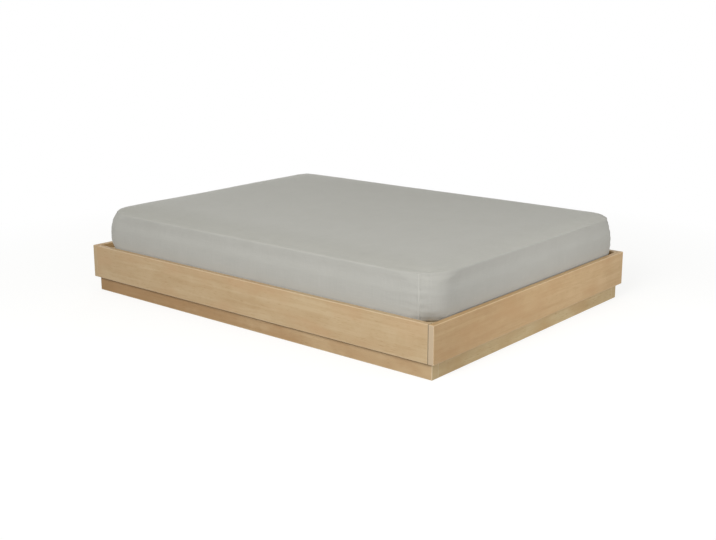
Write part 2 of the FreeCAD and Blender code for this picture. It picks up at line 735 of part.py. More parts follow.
def make_foam():
    piece = Piece("support_foam", BED_OF_MATTRESS)
    loft(piece, "AdditiveLoft", lower_side(piece, "foam_depth", "lining_depth"))
    piece = Piece("comfort_foam", BED_OF_MATTRESS)
    loft(piece, "AdditiveLoft", upper_side(piece, "foam_depth"))
    loft(piece, "AdditiveLoft", crown_sections(piece, "foam_depth"))


def make_cover():
    panel_inset = "bottom_rounding + cover_thickness"
    panel_edge = (f"bottom_draw + {panel_inset}", f"mattress_corner - ({panel_inset})")
    piece = Piece("cover_base_panel", BED_OF_MATTRESS)
    outline = piece.sketch("outline", "Z", "cover_depth")
    rounded_outline(outline, *panel_edge)
    piece.feature("Pad", "panel", outline, Length="cover_thickness")
    piece = Piece("cover_border", BED_OF_MATTRESS)
    for kind, depth in (("AdditiveLoft", "cover_depth"), ("SubtractiveLoft", "lining_depth")):
        loft(piece, kind, lower_side(piece, depth, depth))
        loft(piece, kind, upper_side(piece, depth))
    opening = piece.sketch("base_opening", "Z", "cover_depth")
    rounded_outline(opening, *panel_edge)
    piece.feature("Pocket", "opening", opening, Length="cover_thickness", Reversed=True)
    piece = Piece("cover_top_panel", BED_OF_MATTRESS)
    loft(piece, "AdditiveLoft", crown_sections(piece, "cover_depth"))
    loft(piece, "SubtractiveLoft", crown_sections(piece, "lining_depth"))


def make_fitted_sheet():
    piece = Piece("fitted_sheet", BED_OF_MATTRESS)
    for kind, depth in (("AdditiveLoft", "0"), ("SubtractiveLoft", "sheet_thickness")):
        loft(piece, kind, lower_side(piece, depth, depth))
        loft(piece, kind, upper_side(piece, depth))
        loft(piece, kind, crown_sections(piece, depth))
    opening = piece.sketch("hem_opening", "Z", 0)
    rounded_outline(opening, "bottom_draw + hem_width", "mattress_corner - hem_width / 2")
    piece.feature("Pocket", "opening", opening, Length="sheet_thickness", Reversed=True)

    piece = Piece("hem_elastic", BED_OF_MATTRESS)
    band = piece.sketch("outline", "Z", 0)
    rounded_outline(band, "bottom_draw + hem_width", "mattress_corner - hem_width / 2")
    piece.feature("Pad", "band", band, Length="sheet_thickness")
    inside = piece.sketch("inside", "Z", 0)
    rounded_outline(inside, "bottom_draw + hem_width + elastic_width",
                    "mattress_corner - hem_width / 2 - elastic_width")
    piece.feature("Pocket", "inside_cut", inside, Length="sheet_thickness", Reversed=True)


# ---- build, check and write ----------------------------------------------------------

def check_everything():
    """Stop if any object failed, or any piece has no sound solid."""
    for thing in DOCUMENT.Objects:
        if {"Invalid", "Error"} & set(thing.State):
            raise RuntimeError(f"{thing.Label} ({thing.Name}) is {thing.State}")
    for piece in Piece.every:
        shape = piece.body.Shape
        if shape.isNull() or not shape.isValid() or not shape.Solids:
            raise RuntimeError(f"{piece.body.Label} has no valid solid")


def write_everything():
    os.makedirs("parts", exist_ok=True)
    for piece in Piece.every:
        piece.body.Shape.exportStep(f"parts/{piece.body.Label}.step")
        shape = piece.body.Shape
        print(f"{piece.body.Label}: {len(shape.Solids)} solids, {shape.Volume:.0f} mm3")


for make in (make_plinth, make_corner_blocks, make_rails, make_cleats, make_beam,
             make_slats, make_angles, make_dowels, make_cleat_screws, make_tie_screws,
             make_slat_screws, make_block_screws, make_angle_screws, make_foam,
             make_cover, make_fitted_sheet):
    make()
DOCUMENT.recompute()
check_everything()
write_everything()
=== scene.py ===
"""The looks of a low slatted floor bed: maple boards, slats, mattress and fitted sheet.

Metres. +Z is up, X runs from the head to the foot, and the origin is on the floor under
the middle of the bed.
"""

import math

import bpy
import numpy as np
from mathutils import Matrix, Vector, noise


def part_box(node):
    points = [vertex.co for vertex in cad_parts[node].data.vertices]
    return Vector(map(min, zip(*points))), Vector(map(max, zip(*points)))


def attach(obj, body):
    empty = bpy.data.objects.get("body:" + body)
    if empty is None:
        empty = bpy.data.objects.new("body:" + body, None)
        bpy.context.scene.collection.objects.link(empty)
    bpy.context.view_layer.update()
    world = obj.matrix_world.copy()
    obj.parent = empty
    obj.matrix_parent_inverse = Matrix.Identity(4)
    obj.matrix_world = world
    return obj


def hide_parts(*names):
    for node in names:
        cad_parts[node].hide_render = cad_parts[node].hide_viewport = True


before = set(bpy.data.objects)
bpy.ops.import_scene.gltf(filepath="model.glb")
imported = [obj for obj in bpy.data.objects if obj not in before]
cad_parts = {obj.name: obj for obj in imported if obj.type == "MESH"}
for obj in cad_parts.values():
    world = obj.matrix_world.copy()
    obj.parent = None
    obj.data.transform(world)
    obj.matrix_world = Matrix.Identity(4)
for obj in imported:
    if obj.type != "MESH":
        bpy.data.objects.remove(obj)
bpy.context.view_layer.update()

# ---- sizes ---------------------------------------------------------------------------

SHEET_LOW, SHEET_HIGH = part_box("fitted_sheet")
HALF = np.array([SHEET_HIGH.x, SHEET_HIGH.y])  # half length and width, over the sides
DECK = SHEET_LOW.z  # the slats' top, on which the mattress lies
CROWN = 0.028  # rise of the top above the welt
WELT = SHEET_HIGH.z - 0.023
CROWN_RUN = 0.150  # distance over which the top rises
CORNER = 0.105  # usual corner radius in plan
LEAN = 0.78  # share of the side's height from where its corners lean in to the welt
TOP_DRAW = 0.009  # how far the welt is drawn in from the widest line
BOTTOM_DRAW = 0.003  # how far the bottom edge is drawn in
WIDEST = 0.35  # share of the side's height
HOLLOW = 0.0032  # how far the side falls in under the welt
HOLLOW_SPAN = 0.45  # share of the side's height
EDGE_ROUNDING = 0.010  # where the side turns in under the mattress
TUCK = 0.022  # how much farther the corners' bottom edges are drawn in
TUCK_SPAN = 0.30  # share of the side's height over which they are

SHEET_THICKNESS = 0.0008
SHEET_ROOM = 0.0026  # outer skin of the sheet to the mattress inside it
SHEET_UNDER = 0.0002  # underside of the sheet above the slats
MATTRESS_UNDER = 0.0042  # underside of the mattress's edge above the slats, inside the sheet
MATTRESS_SAG = 0.0030  # how far its middle hangs lower, inside the hem's opening
HEM_WIDTH = 0.080
HEM_CORNER = 0.060  # corner radius of the opening underneath
HEM_RUFFLE = 0.0018
ELASTIC_WIDTH = 0.008
ELASTIC_LOW = 0.0007  # underside of the elastic above the slats
ELASTIC_THICK = 0.0014
RIB = 0.0032  # one rib of the elastic and its gap
RIB_HEIGHT = 0.00022

FINE_STEP = 0.0025  # grid of the cloth beside an edge
COARSE_STEP = 0.014  # and away from the edges
STEP_GROWTH = 1.18

# Each corner of the mattress: how far round it its seam stands, in degrees from the long
# side, its radius in plan and its radius along the welt.
CORNERS = {("foot", "right"): (23, 0.106, 0.155), ("foot", "left"): (41, 0.052, 0.086),
           ("head", "right"): (38, 0.108, 0.172), ("head", "left"): (47, 0.095, 0.135)}
SIDES = {"left": 1, "right": -1}
ENDS = {"head": -1, "foot": 1}


# ---- short words for node trees ------------------------------------------------------

class Tree:
    """A node tree in the making: most calls add a node and give its output."""

    def __init__(self, tree):
        self.tree = tree

    def feed(self, socket, fed):
        """Link an output to a socket, or set the socket's own value."""
        if isinstance(fed, bpy.types.NodeSocket):
            self.tree.links.new(fed, socket)
        else:
            socket.default_value = fed

    def feed_all(self, node, feeds):
        for name, fed in dict(feeds).items():
            self.feed(node.inputs[name], fed)

    def add(self, kind, feeds=(), out=0, **settings):
        node = self.tree.nodes.new(kind)
        for name, setting in settings.items():
            setattr(node, name, setting)
        self.feed_all(node, feeds)
        return node.outputs[out]

    def math(self, operation, *terms):
        return self.add("ShaderNodeMath", enumerate(terms), operation=operation)

    def times(self, *terms):
        """The product of two terms, plus the third if there is one."""
        return self.math("MULTIPLY_ADD" if len(terms) == 3 else "MULTIPLY", *terms)

    def minus(self, first, second):
        return self.math("SUBTRACT", first, second)

    def vector_math(self, operation, *terms):
        return self.add("ShaderNodeVectorMath", enumerate(terms), operation=operation)

    def stretch(self, place, *scale):
        return self.vector_math("MULTIPLY", place, scale)

    def shift(self, place, by):
        return self.vector_math("ADD", place, by)

    def spot(self):
        """Where a point lies in its piece, in metres."""
        return self.add("ShaderNodeTexCoord", out="Object")

    def noise(self, place, scale=1.0, detail=2.0, roughness=0.5):
        return self.add("ShaderNodeTexNoise", {"Vector": place, "Scale": scale,
                                               "Detail": detail, "Roughness": roughness})

    def remap(self, given, low, high, to_low=0.0, to_high=1.0):
        return self.add("ShaderNodeMapRange", {0: given, 1: low, 2: high, 3: to_low,
                                               4: to_high})

    def mix(self, share, first, second, how="MIX"):
        return self.add("ShaderNodeMix", {0: share, 6: first, 7: second}, out=2,
                        data_type="RGBA", blend_type=how)

    def parts(self, vector):
        """The three parts of a vector."""
        return self.add("ShaderNodeSeparateXYZ", {0: vector}).node.outputs


FLOAT, COLOUR, VECTOR = "NodeSocketFloat", "NodeSocketColor", "NodeSocketVector"


def effect(name, given, made):
    """An empty shader group with named inputs and outputs."""
    group = bpy.data.node_groups.new(name, "ShaderNodeTree")
    for in_out, sockets in (("INPUT", given), ("OUTPUT", made)):
        for label, kind in sockets.items():
            group.interface.new_socket(name=label, in_out=in_out, socket_type=kind)
    inside = Tree(group)
    return inside, group.nodes.new("NodeGroupInput").outputs, group.nodes.new("NodeGroupOutput")


def place_effect(tree, group, **given):
    """A group placed in a material, and its outputs."""
    return tree.add("ShaderNodeGroup", given, node_tree=group).node.outputs


def tint(red, green, blue):
    """A colour as it is seen on a screen, 0 to 255, for a colour socket."""
    linear = [(c / 255 / 12.92 if c / 255 <= 0.04045 else ((c / 255 + 0.055) / 1.055) ** 2.4)
              for c in (red, green, blue)]
    return (*linear, 1.0)


def material(name, look):
    """A material, built by a function of its tree and its Principled shader."""
    made = bpy.data.materials.new(name)
    made.use_nodes = True
    shader = made.node_tree.nodes["Principled BSDF"]
    look(Tree(made.node_tree), shader)
    return made


def relief(tree, shader, height, depth):
    """Bump from a height between 0 and 1, where 1 stands a depth proud."""
    normal = tree.add("ShaderNodeBump", {"Height": height, "Distance": depth, "Strength": 1.0})
    tree.feed(shader.inputs["Normal"], normal)


# ---- wood ----------------------------------------------------------------------------

# Paler wood at the boards' edges: partly real wear, partly a painted highlight where the eased
# edges catch the light.
EDGE_WEAR_AND_HIGHLIGHT = tint(228, 210, 180)
EDGE_REACH = 0.004  # how far from a board's edge its wear and painted highlight are seen


def maple_grain():
    """Grain along X: rings about a pith, long streaks, broad tints, fibres and flecks, paler
    edges (partly wear, partly painted highlight) and painted shade drifting along X.
    """
    tree, given, result = effect(
        "maple_grain",
        {"Place": VECTOR, "Seed": VECTOR, "Pith": VECTOR, "End": FLOAT, "Edge": FLOAT,
         "Pale": COLOUR, "Deep": COLOUR, "Flush": COLOUR, "Cut": COLOUR, "Drift": FLOAT},
        {"Color": COLOUR, "Roughness": FLOAT, "Height": FLOAT})
    seeded = tree.shift(given["Place"], given["Seed"])

    def patches(lengthwise, sideways, detail=2.0, roughness=0.5):
        stretched = tree.stretch(seeded, lengthwise, sideways, sideways)
        return tree.noise(stretched, 1.0, detail, roughness)

    wander = tree.minus(patches(1.1, 9, 3), 0.5)
    drift = tree.minus(patches(0.8, 1.5), 0.5)
    along, across, up = tree.parts(tree.shift(given["Place"], given["Pith"]))
    radius = tree.math("SQRT", tree.math("ADD", tree.times(across, across), tree.times(up, up)))
    radius = tree.times(wander, 0.016, radius)
    radius = tree.times(drift, 0.07, radius)
    ring_gap = 0.0042
    wave = tree.math("SINE", tree.times(radius, 2 * math.pi / ring_gap))
    rings = tree.remap(wave, -0.2, 1.0)
    streaks = patches(1.6, 70, 4, 0.62)
    bands = patches(0.9, 16)
    blotches = patches(7, 13, 4, 0.6)
    fibres = patches(45, 1300)
    flecks = tree.remap(patches(34, 330), 0.60, 0.76)
    curl_here = tree.remap(patches(2.6, 7), 0.50, 0.75)
    curl = tree.times(tree.minus(patches(19, 7, 3), 0.5), curl_here)
    share = 0.42
    # The drift along X is painted shade; the edge term pales the edges, partly wear and partly
    # painted highlight.
    for pattern, middle, weight in ((streaks, 0.5, 1.15), (bands, 0.5, 0.9),
                                    (blotches, 0.5, 1.25), (rings, 0.4, 0.11),
                                    (fibres, 0.5, 0.28), (curl, 0, 1.1),
                                    (along, 0, given["Drift"]), (flecks, 0, 0.90),
                                    (given["Edge"], 0, -0.55)):
        share = tree.times(tree.minus(pattern, middle), weight, share)
    wood = tree.mix(share, given["Pale"], given["Deep"])
    flushed = tree.remap(patches(4.2, 9, 3), 0.46, 0.70, 0, 0.8)
    wood = tree.mix(flushed, wood, given["Flush"])
    pores = tree.remap(tree.noise(seeded, 900, 1), 0.35, 0.65, 0.80, 1.0)
    wood = tree.mix(tree.times(given["End"], pores), wood, given["Cut"])
    # Paler edges: partly wear, partly painted highlight.
    wood = tree.mix(tree.times(given["Edge"], 0.35), wood, EDGE_WEAR_AND_HIGHLIGHT)
    worn = tree.times(streaks, 0.16, 0.40)
    worn = tree.times(given["End"], 0.14, worn)
    tree.feed_all(result, {"Color": wood, "Height": tree.times(streaks, 0.5, fibres),
                           "Roughness": tree.times(given["Edge"], -0.06, worn)})
    return tree.tree


def board_edges():
    """How near a point is to an edge of a board, from the board's box: 1 at the edge."""
    tree, given, result = effect(
        "board_edges", {"Place": VECTOR, "Middle": VECTOR, "Half": VECTOR}, {"Mask": FLOAT})
    away = tree.vector_math("SUBTRACT", given["Place"], given["Middle"])
    depth = tree.vector_math("SUBTRACT", given["Half"], tree.vector_math("ABSOLUTE", away))
    x, y, z = tree.parts(depth)
    least = tree.math("MINIMUM", x, tree.math("MINIMUM", y, z))
    most = tree.math("MAXIMUM", x, tree.math("MAXIMUM", y, z))
    total = tree.math("ADD", x, tree.math("ADD", y, z))
    second = tree.minus(total, tree.math("ADD", least, most))
    ragged = tree.noise(tree.stretch(given["Place"], 60, 60, 60), detail=2)
    reach = tree.times(EDGE_REACH, tree.math("ADD", ragged, 0.5))
    tree.feed(result.inputs["Mask"], tree.remap(second, 0.0, reach, 1.0, 0.0))
    return tree.tree


RAIL_LOW, RAIL_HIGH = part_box("side_rail_left")
JOINT = Vector((RAIL_HIGH.x, RAIL_LOW.y))  # a side rail's end, and its inner face
MAPLE_GRAIN = maple_grain()
BOARD_EDGES = board_edges()
TURN_TO_X = {"X": (0, 0, 0), "Y": (0, 0, -math.pi / 2), "Z": (0, math.pi / 2, 0)}
CUT_WOOD = tint(195, 175, 148)
# Boards whose end grain is hardly told from their faces.
CUT_WOODS = {"head_rail": tint(188, 165, 131), "plinth_side_left": tint(198, 176, 136),
             "plinth_side_right": tint(198, 176, 136)}
WOODS = {  # pale, deep and flushed
    "rail": [(197, 173, 137), (179, 149, 110), (190, 156, 118)],
    "rail_end": [(200, 170, 127), (180, 145, 101), (186, 148, 103)],
    # The long plinth boards' tones are darker partly as painted shade under the rails' overhang.
    "plinth": [(195, 168, 131), (166, 133, 95), (176, 142, 104)],
    "plinth_end": [(206, 186, 146), (180, 151, 108), (188, 157, 114)],
    "slat": [(214, 196, 163), (196, 171, 132), (203, 176, 140)],
    "hidden": [(209, 187, 150), (186, 158, 118), (196, 164, 127)],
    "beech": [(216, 188, 154), (193, 158, 120), (200, 160, 128)],
}


def painted_joint_shade(tree, spot):
    """Painted shade: 1 down in the grooves where the side rails meet the end rails, less at the
    head.
    """
    core, half_width, depth = 0.0004, 0.0019, 0.0003
    x, y, _ = tree.parts(tree.vector_math("ABSOLUTE", spot))
    away = tree.math("ABSOLUTE", tree.minus(x, JOINT.x))
    near = tree.times(tree.remap(away, core, half_width, 1, 0),
                      tree.remap(y, JOINT.y - depth, JOINT.y))
    return tree.times(near, tree.remap(tree.parts(spot)[0], -0.5, 0.5, 0.25, 1))


def plinth_colour(tree, spot, colour, edge, low, high, is_side):
    """A plinth board's colour: paler at the bed's corners, partly wear and partly a painted
    highlight on the eased edge, and painted shade close under the rails.
    """
    _, across, level = tree.parts(spot)
    if is_side:
        outside = max(abs(low.y), abs(high.y))
        # Painted highlight, with some wear, along the outer corner edges.
        worn_and_lit_edge = tree.remap(tree.math("ABSOLUTE", across), outside - 0.009,
                                  outside - 0.005, 0, 0.45)
        colour = tree.mix(tree.times(edge, worn_and_lit_edge), colour, tint(235, 220, 190))
    # Painted shade close under the rails' overhang.
    shade_under_rail = tree.remap(level, high.z - 0.011, high.z - 0.005, 0, 0.8)
    return tree.mix(shade_under_rail, colour, tint(92, 66, 40))


# A board's drift is painted shade: the board darker along its length.
def wood(name, along, tones, low, high, number, drift=0.0):
    """One board's wood, its grain along an axis, its pith behind the board."""
    middle, half = (low + high) / 2, (high - low) / 2
    seed = (2.37 * number + 0.61, 5.13 * number + 0.29, 3.71 * number + 0.83)
    pith_away = 0.10 + 0.015 * (number % 5)
    pith = (0, pith_away, 0.012)
    if half.z < min(half.x, half.y):
        pith = (0, 0.012, pith_away)
    pale, deep, flush = (tint(*tone) for tone in tones)
    is_plinth = name.startswith(("plinth_side", "plinth_head", "plinth_foot"))

    def look(tree, shader):
        spot = tree.spot()
        facing = tree.add("ShaderNodeTexCoord", out="Normal")
        centred = tree.shift(spot, tuple(-middle))
        turned = tree.add("ShaderNodeMapping", {"Vector": centred, "Rotation": TURN_TO_X[along]})
        turned_facing = tree.add("ShaderNodeMapping",
                                 {"Vector": facing, "Rotation": TURN_TO_X[along]},
                                 vector_type="NORMAL")
        end = tree.remap(tree.math("ABSOLUTE", tree.parts(turned_facing)[0]), 0.75, 0.95)
        edge = place_effect(tree, BOARD_EDGES, Place=spot, Middle=tuple(middle),
                            Half=tuple(half))["Mask"]
        grain = place_effect(tree, MAPLE_GRAIN, Place=turned, Seed=seed, Pith=pith, End=end,
                             Edge=edge, Pale=pale, Deep=deep, Flush=flush, Drift=drift,
                             Cut=CUT_WOODS.get(name, CUT_WOOD))
        colour = grain["Color"]
        if is_plinth:
            colour = plinth_colour(tree, spot, colour, edge, low, high, "side" in name)
        if name.startswith(("side_rail", "head_rail", "foot_rail")):
            # Painted shade in the grooves where the rails meet.
            colour = tree.mix(painted_joint_shade(tree, spot), colour, tint(52, 36, 22))
        tree.feed_all(shader, {"Base Color": colour, "Roughness": grain["Roughness"],
                               "Specular IOR Level": 0.12 if "plinth" in name else 0.35})
        relief(tree, shader, grain["Height"], 0.00012)

    return material(name + "_wood", look)


# Each family of boards: how its nodes' names start, along which axis the grain runs, tones.
FAMILIES = [
    ("side_rail", "X", "rail"), ("head_rail", "Y", "rail_end"), ("foot_rail", "Y", "rail_end"),
    ("plinth_side", "X", "plinth"), ("plinth_head", "Y", "plinth_end"),
    ("plinth_foot", "Y", "plinth_end"), ("cross_member", "Y", "hidden"),
    ("corner_block", "Z", "hidden"), ("side_cleat", "X", "hidden"),
    ("head_cleat", "Y", "hidden"), ("foot_cleat", "Y", "hidden"),
    ("centre_beam", "X", "hidden"), ("slat_", "Y", "slat"), ("plinth_dowels", "Y", "beech"),
    ("rail_dowels", "X", "beech"),
]
# Painted shade: how much darker a board gets along its length, as the light falls off along it;
# on the near plinth it stands in for the rail's shadow.
PAINTED_SHADE_DRIFTS = {"plinth_side_right": -0.80, "side_rail_right": -0.04, "foot_rail": -0.35}


def dress(node, finish):
    """Give a node of the frame one finish."""
    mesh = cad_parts[node].data
    mesh.materials.clear()
    mesh.materials.append(finish)
    mesh.polygons.foreach_set("material_index", np.zeros(len(mesh.polygons), np.int32))


def dress_boards():
    """Give each board its family's wood, with grain of its own by its place among the names."""
    for number, node in enumerate(sorted(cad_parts)):
        found = [family for family in FAMILIES if node.startswith(family[0])]
        if found and "screws" not in node:
            _, along, tones = found[0]
            dress(node, wood(node, along, WOODS[tones], *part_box(node), number,
                             PAINTED_SHADE_DRIFTS.get(node, 0.0)))


# ---- metal ---------------------------------------------------------------------------

def zinc_look(tree, shader):
    """Zinc plate: a cool grey with a faint spangle and fine rolling lines."""
    spot = tree.spot()
    spangle = tree.add("ShaderNodeTexVoronoi", {"Vector": spot, "Scale": 420.0}, out="Color")
    lightness = tree.parts(spangle)[0]
    dull = tree.noise(spot, 60, 3)
    share = tree.times(lightness, 0.5, tree.times(dull, 0.5))
    tree.feed_all(shader, {
        "Base Color": tree.mix(share, tint(150, 154, 158), tint(196, 199, 201)),
        "Roughness": tree.remap(dull, 0.3, 0.7, 0.28, 0.46), "Metallic": 1.0})
    lines = tree.noise(tree.stretch(spot, 900, 900, 60), 1, 2)
    relief(tree, shader, lines, 0.00004)


# ---- cloth ---------------------------------------------------------------------------

def weave_effect():
    """Crossing threads over a map in metres, with slubs in both directions."""
    tree, given, result = effect("weave", {"Map": VECTOR, "Thread": FLOAT, "Slub": FLOAT},
                                 {"Height": FLOAT, "Slubs": FLOAT})
    across, along, _ = tree.parts(given["Map"])
    turns = tree.math("DIVIDE", 2 * math.pi, given["Thread"])
    warp = tree.math("SINE", tree.times(across, turns))
    weft = tree.math("SINE", tree.times(along, turns))
    crossing = tree.times(warp, weft)
    height = tree.times(crossing, 0.5, 0.5)
    first = tree.noise(tree.stretch(given["Map"], 14, 420, 1), detail=2)
    second = tree.noise(tree.stretch(given["Map"], 420, 14, 1), detail=2)
    slubs = tree.times(tree.math("ADD", first, second), 0.5)
    slubs = tree.times(tree.minus(slubs, 0.5), given["Slub"], 0.5)
    tree.feed_all(result, {"Height": tree.times(slubs, 0.6, height),
                           "Slubs": slubs})
    return tree.tree


WEAVE = weave_effect()


def cloth(name, pale, deep, thread, slub, depth):
    """Woven cloth that follows the piece's own map."""
    def look(tree, shader):
        map_place = tree.add("ShaderNodeUVMap", uv_map="cut")
        spot = tree.spot()
        weave = place_effect(tree, WEAVE, Map=map_place, Thread=thread, Slub=slub)
        mottle = tree.noise(spot, 9, 4, 0.6)
        share = tree.times(tree.minus(mottle, 0.5), 0.5, weave["Slubs"])
        tree.feed_all(shader, {
            "Base Color": tree.mix(share, deep, pale),
            "Roughness": tree.remap(mottle, 0.3, 0.7, 0.82, 0.92),
            "Specular IOR Level": 0.2, "Sheen Weight": 0.25, "Sheen Roughness": 0.5})
        relief(tree, shader, weave["Height"], depth)
    return material(name, look)


SHEET_CLOTH = cloth("sheet_cotton", tint(188, 187, 182), tint(169, 168, 162), 0.0011, 1.0,
                    0.00014)
SEAM_CLOTH = cloth("seam_cotton", tint(193, 192, 187), tint(178, 177, 171), 0.0011, 1.0,
                   0.00015)
TICKING = cloth("ticking_cloth", tint(228, 226, 220), tint(206, 204, 198), 0.0016, 0.7,
                0.00030)
ELASTIC_CLOTH = cloth("elastic_cloth", tint(214, 212, 206), tint(184, 182, 176), 0.0018, 0.4,
                      0.00035)


def thread_look(tree, shader):
    """Pale grey sewing thread with a fine twist."""
    spot = tree.spot()
    twist = tree.noise(spot, 2600, 1)
    tree.feed_all(shader, {
        "Base Color": tree.mix(twist, tint(186, 185, 179), tint(206, 205, 199)),
        "Roughness": tree.remap(twist, 0.3, 0.7, 0.55, 0.75)})
    relief(tree, shader, twist, 0.0001)


# ---- the mattress's form -------------------------------------------------------------

def half_marks(half, fine, coarse):
    """Distances in from an edge to the middle, in steps that grow."""
    marks, step = [0.0], fine
    while marks[-1] + 1.6 * step < half:
        marks.append(marks[-1] + step)
        step = min(step * STEP_GROWTH, coarse)
    return np.array([*marks, half])


def lines_across(half, fine, coarse):
    """Places of the grid's lines from one edge to the other, fine beside both."""
    marks = half_marks(half, fine, coarse)
    return np.concatenate([marks - half, (half - marks)[-2::-1]])


def crown_rise(distance):
    """How much of the crown's rise is reached at a distance in from the edge."""
    return 1 - (1 - np.clip(distance / CROWN_RUN, 0, 1)) ** 3


def side_inset(share):
    """How far the side is drawn in at a share of its height: least where it is widest."""
    below = BOTTOM_DRAW * (np.clip(WIDEST - share, 0, 1) / WIDEST) ** 2
    above = TOP_DRAW * (np.clip(share - WIDEST, 0, 1) / (1 - WIDEST)) ** 2
    hollow = HOLLOW * np.sin(math.pi * np.clip((1 - share) / HOLLOW_SPAN, 0, 1)) ** 2
    return below + above + hollow


def seam_facing(end, side, degrees=None):
    """The way, in plan, that a corner's seam faces, or another way round its corner."""
    angle = math.radians(degrees or CORNERS[end, side][0])
    return ENDS[end] * math.sin(angle), SIDES[side] * math.cos(angle)


def side_rounding(share):
    """How far the corners lean in at a share of the side's height: 1 at the welt."""
    return np.clip((share - LEAN) / (1 - LEAN), 0, 1) ** 1.5


def corner_tuck(level):
    """How much farther in the corners are at a level: most at the bottom edge."""
    share = (level - DECK) / (WELT - DECK)
    return TUCK * np.clip((TUCK_SPAN - share) / TUCK_SPAN, 0, 1) ** 2


class Form:
    """The mattress's skin, a depth inside the sheet's: a top grid, and rings below it.

    Each point of the grid has a hold, where it stands along the straight lengths, and a
    way, how far and in which direction it stands out from there towards the rounded rim.
    A rounding says how round a ring's corners are: 0 as the side's, 1 as the welt's, and
    -1 as those of the opening underneath. A tuck draws its corners in farther.
    """

    def __init__(self, depth, fine, coarse):
        self.depth = depth
        reach = HALF - TOP_DRAW - depth
        straight = HALF - TOP_DRAW - CORNER
        lines = [lines_across(half, fine, coarse) for half in reach]
        self.cut = np.stack(np.meshgrid(*lines, indexing="ij"), axis=-1)
        past = np.clip((np.abs(self.cut) - straight) / (CORNER - depth), 0, 1)
        self.hold = np.clip(self.cut / straight, -1, 1)
        self.way = np.sign(self.cut) * past * np.sqrt(1 - past[..., ::-1] ** 2 / 2)
        self.corner = np.abs(self.way).min(axis=-1) * math.sqrt(2)  # 1 in a corner's middle
        self.radii = np.zeros((3, *self.cut.shape[:2], 1))  # the side's, the welt's, the hem's
        for (end, side), (_, radius, welt_radius) in CORNERS.items():
            share = (1 + self.hold * (ENDS[end], SIDES[side])) / 2
            share = (share * share * (3 - 2 * share)).prod(axis=-1)
            self.radii[..., 0] += np.multiply.outer((radius, welt_radius, HEM_CORNER), share)
        near, far = np.sort(reach - np.abs(self.cut), axis=-1).T + 1e-9
        blend = 4  # how sharply the rise turns from one side to the next
        distance = (near ** -blend + far ** -blend) ** (-1 / blend)
        self.rise = crown_rise(distance).T
        last_x, last_y = len(lines[0]) - 1, len(lines[1]) - 1
        walk = [(i, 0) for i in range(last_x)]
        walk += [(last_x, j) for j in range(last_y)]
        walk += [(i, last_y) for i in range(last_x, 0, -1)]
        walk += [(0, j) for j in range(last_y, 0, -1)]
        self.rim = tuple(np.array(walk).T)
        round_rim = self.plan(TOP_DRAW, 1)[self.rim]
        steps = np.linalg.norm(np.roll(round_rim, -1, axis=0) - round_rim, axis=1)
        self.along = np.concatenate([[0], np.cumsum(steps)])

    def plan(self, inset, rounding, tuck=0):
        """The whole grid in plan, its rim drawn in by an inset, its corners rounded."""
        reach = HALF - inset - self.depth
        side, welt, hem = self.radii - self.depth
        radius = side + (welt - side) * max(rounding, 0) + (hem - side) * max(-rounding, 0)
        drawn_in = tuck * self.corner[..., None] * radius / CORNER
        return self.hold * (reach - radius) + self.way * (radius - drawn_in)

    def top(self):
        """The top's grid of points."""
        level = WELT - self.depth + CROWN * self.rise
        return np.concatenate([self.plan(TOP_DRAW, 1), level[..., None]], axis=-1)

    def ring(self, inset, rounding, level):
        """The rim's points at one level of the side or of the hem."""
        plan = self.plan(inset, rounding, corner_tuck(level) * (1 + min(rounding, 0)))[self.rim]
        return np.column_stack([plan, np.full(len(plan), level)])

    def seam_index(self, end, side):
        """The rim's point nearest to a corner's seam."""
        holds = np.abs(self.hold[self.rim] - (ENDS[end], SIDES[side])).max(axis=1)
        away = np.linalg.norm(self.way[self.rim] - seam_facing(end, side), axis=1)
        return int(np.argmin(away + 10 * (holds > 1e-6)))


def side_rows(fine, coarse):
    """Levels down the side, fine beside the welt and the bottom edge."""
    height = WELT - DECK
    low = EDGE_ROUNDING / height
    marks = half_marks((1 - low) * height / 2, fine, coarse) / height
    shares = np.concatenate([1 - marks, low + marks[-2::-1]])[1:]
    return [(side_inset(share), side_rounding(share), DECK + share * height)
            for share in shares]


def turn_rows(steps, level):
    """Round the bottom edge and in underneath, down to a level."""
    start = side_inset(EDGE_ROUNDING / (WELT - DECK))
    depth = DECK + EDGE_ROUNDING - level
    angles = [math.pi / 2 * step / steps for step in range(1, steps + 1)]
    return [(start + EDGE_ROUNDING * (1 - math.cos(angle)), 0,
             level + depth * (1 - math.sin(angle))) for angle in angles]


def hem_rows(steps, level):
    """In underneath, from the turned edge to the elastic."""
    start = side_inset(EDGE_ROUNDING / (WELT - DECK)) + EDGE_ROUNDING
    end = BOTTOM_DRAW + HEM_WIDTH
    shares = [step / steps for step in range(1, steps + 1)]
    return [(start + (end - start) * share, -share, level) for share in shares]


def grid_faces(index):
    """The faces of a grid of point numbers."""
    corners = [index[:-1, :-1], index[1:, :-1], index[1:, 1:], index[:-1, 1:]]
    return np.stack(corners, axis=-1).reshape(-1, 4)


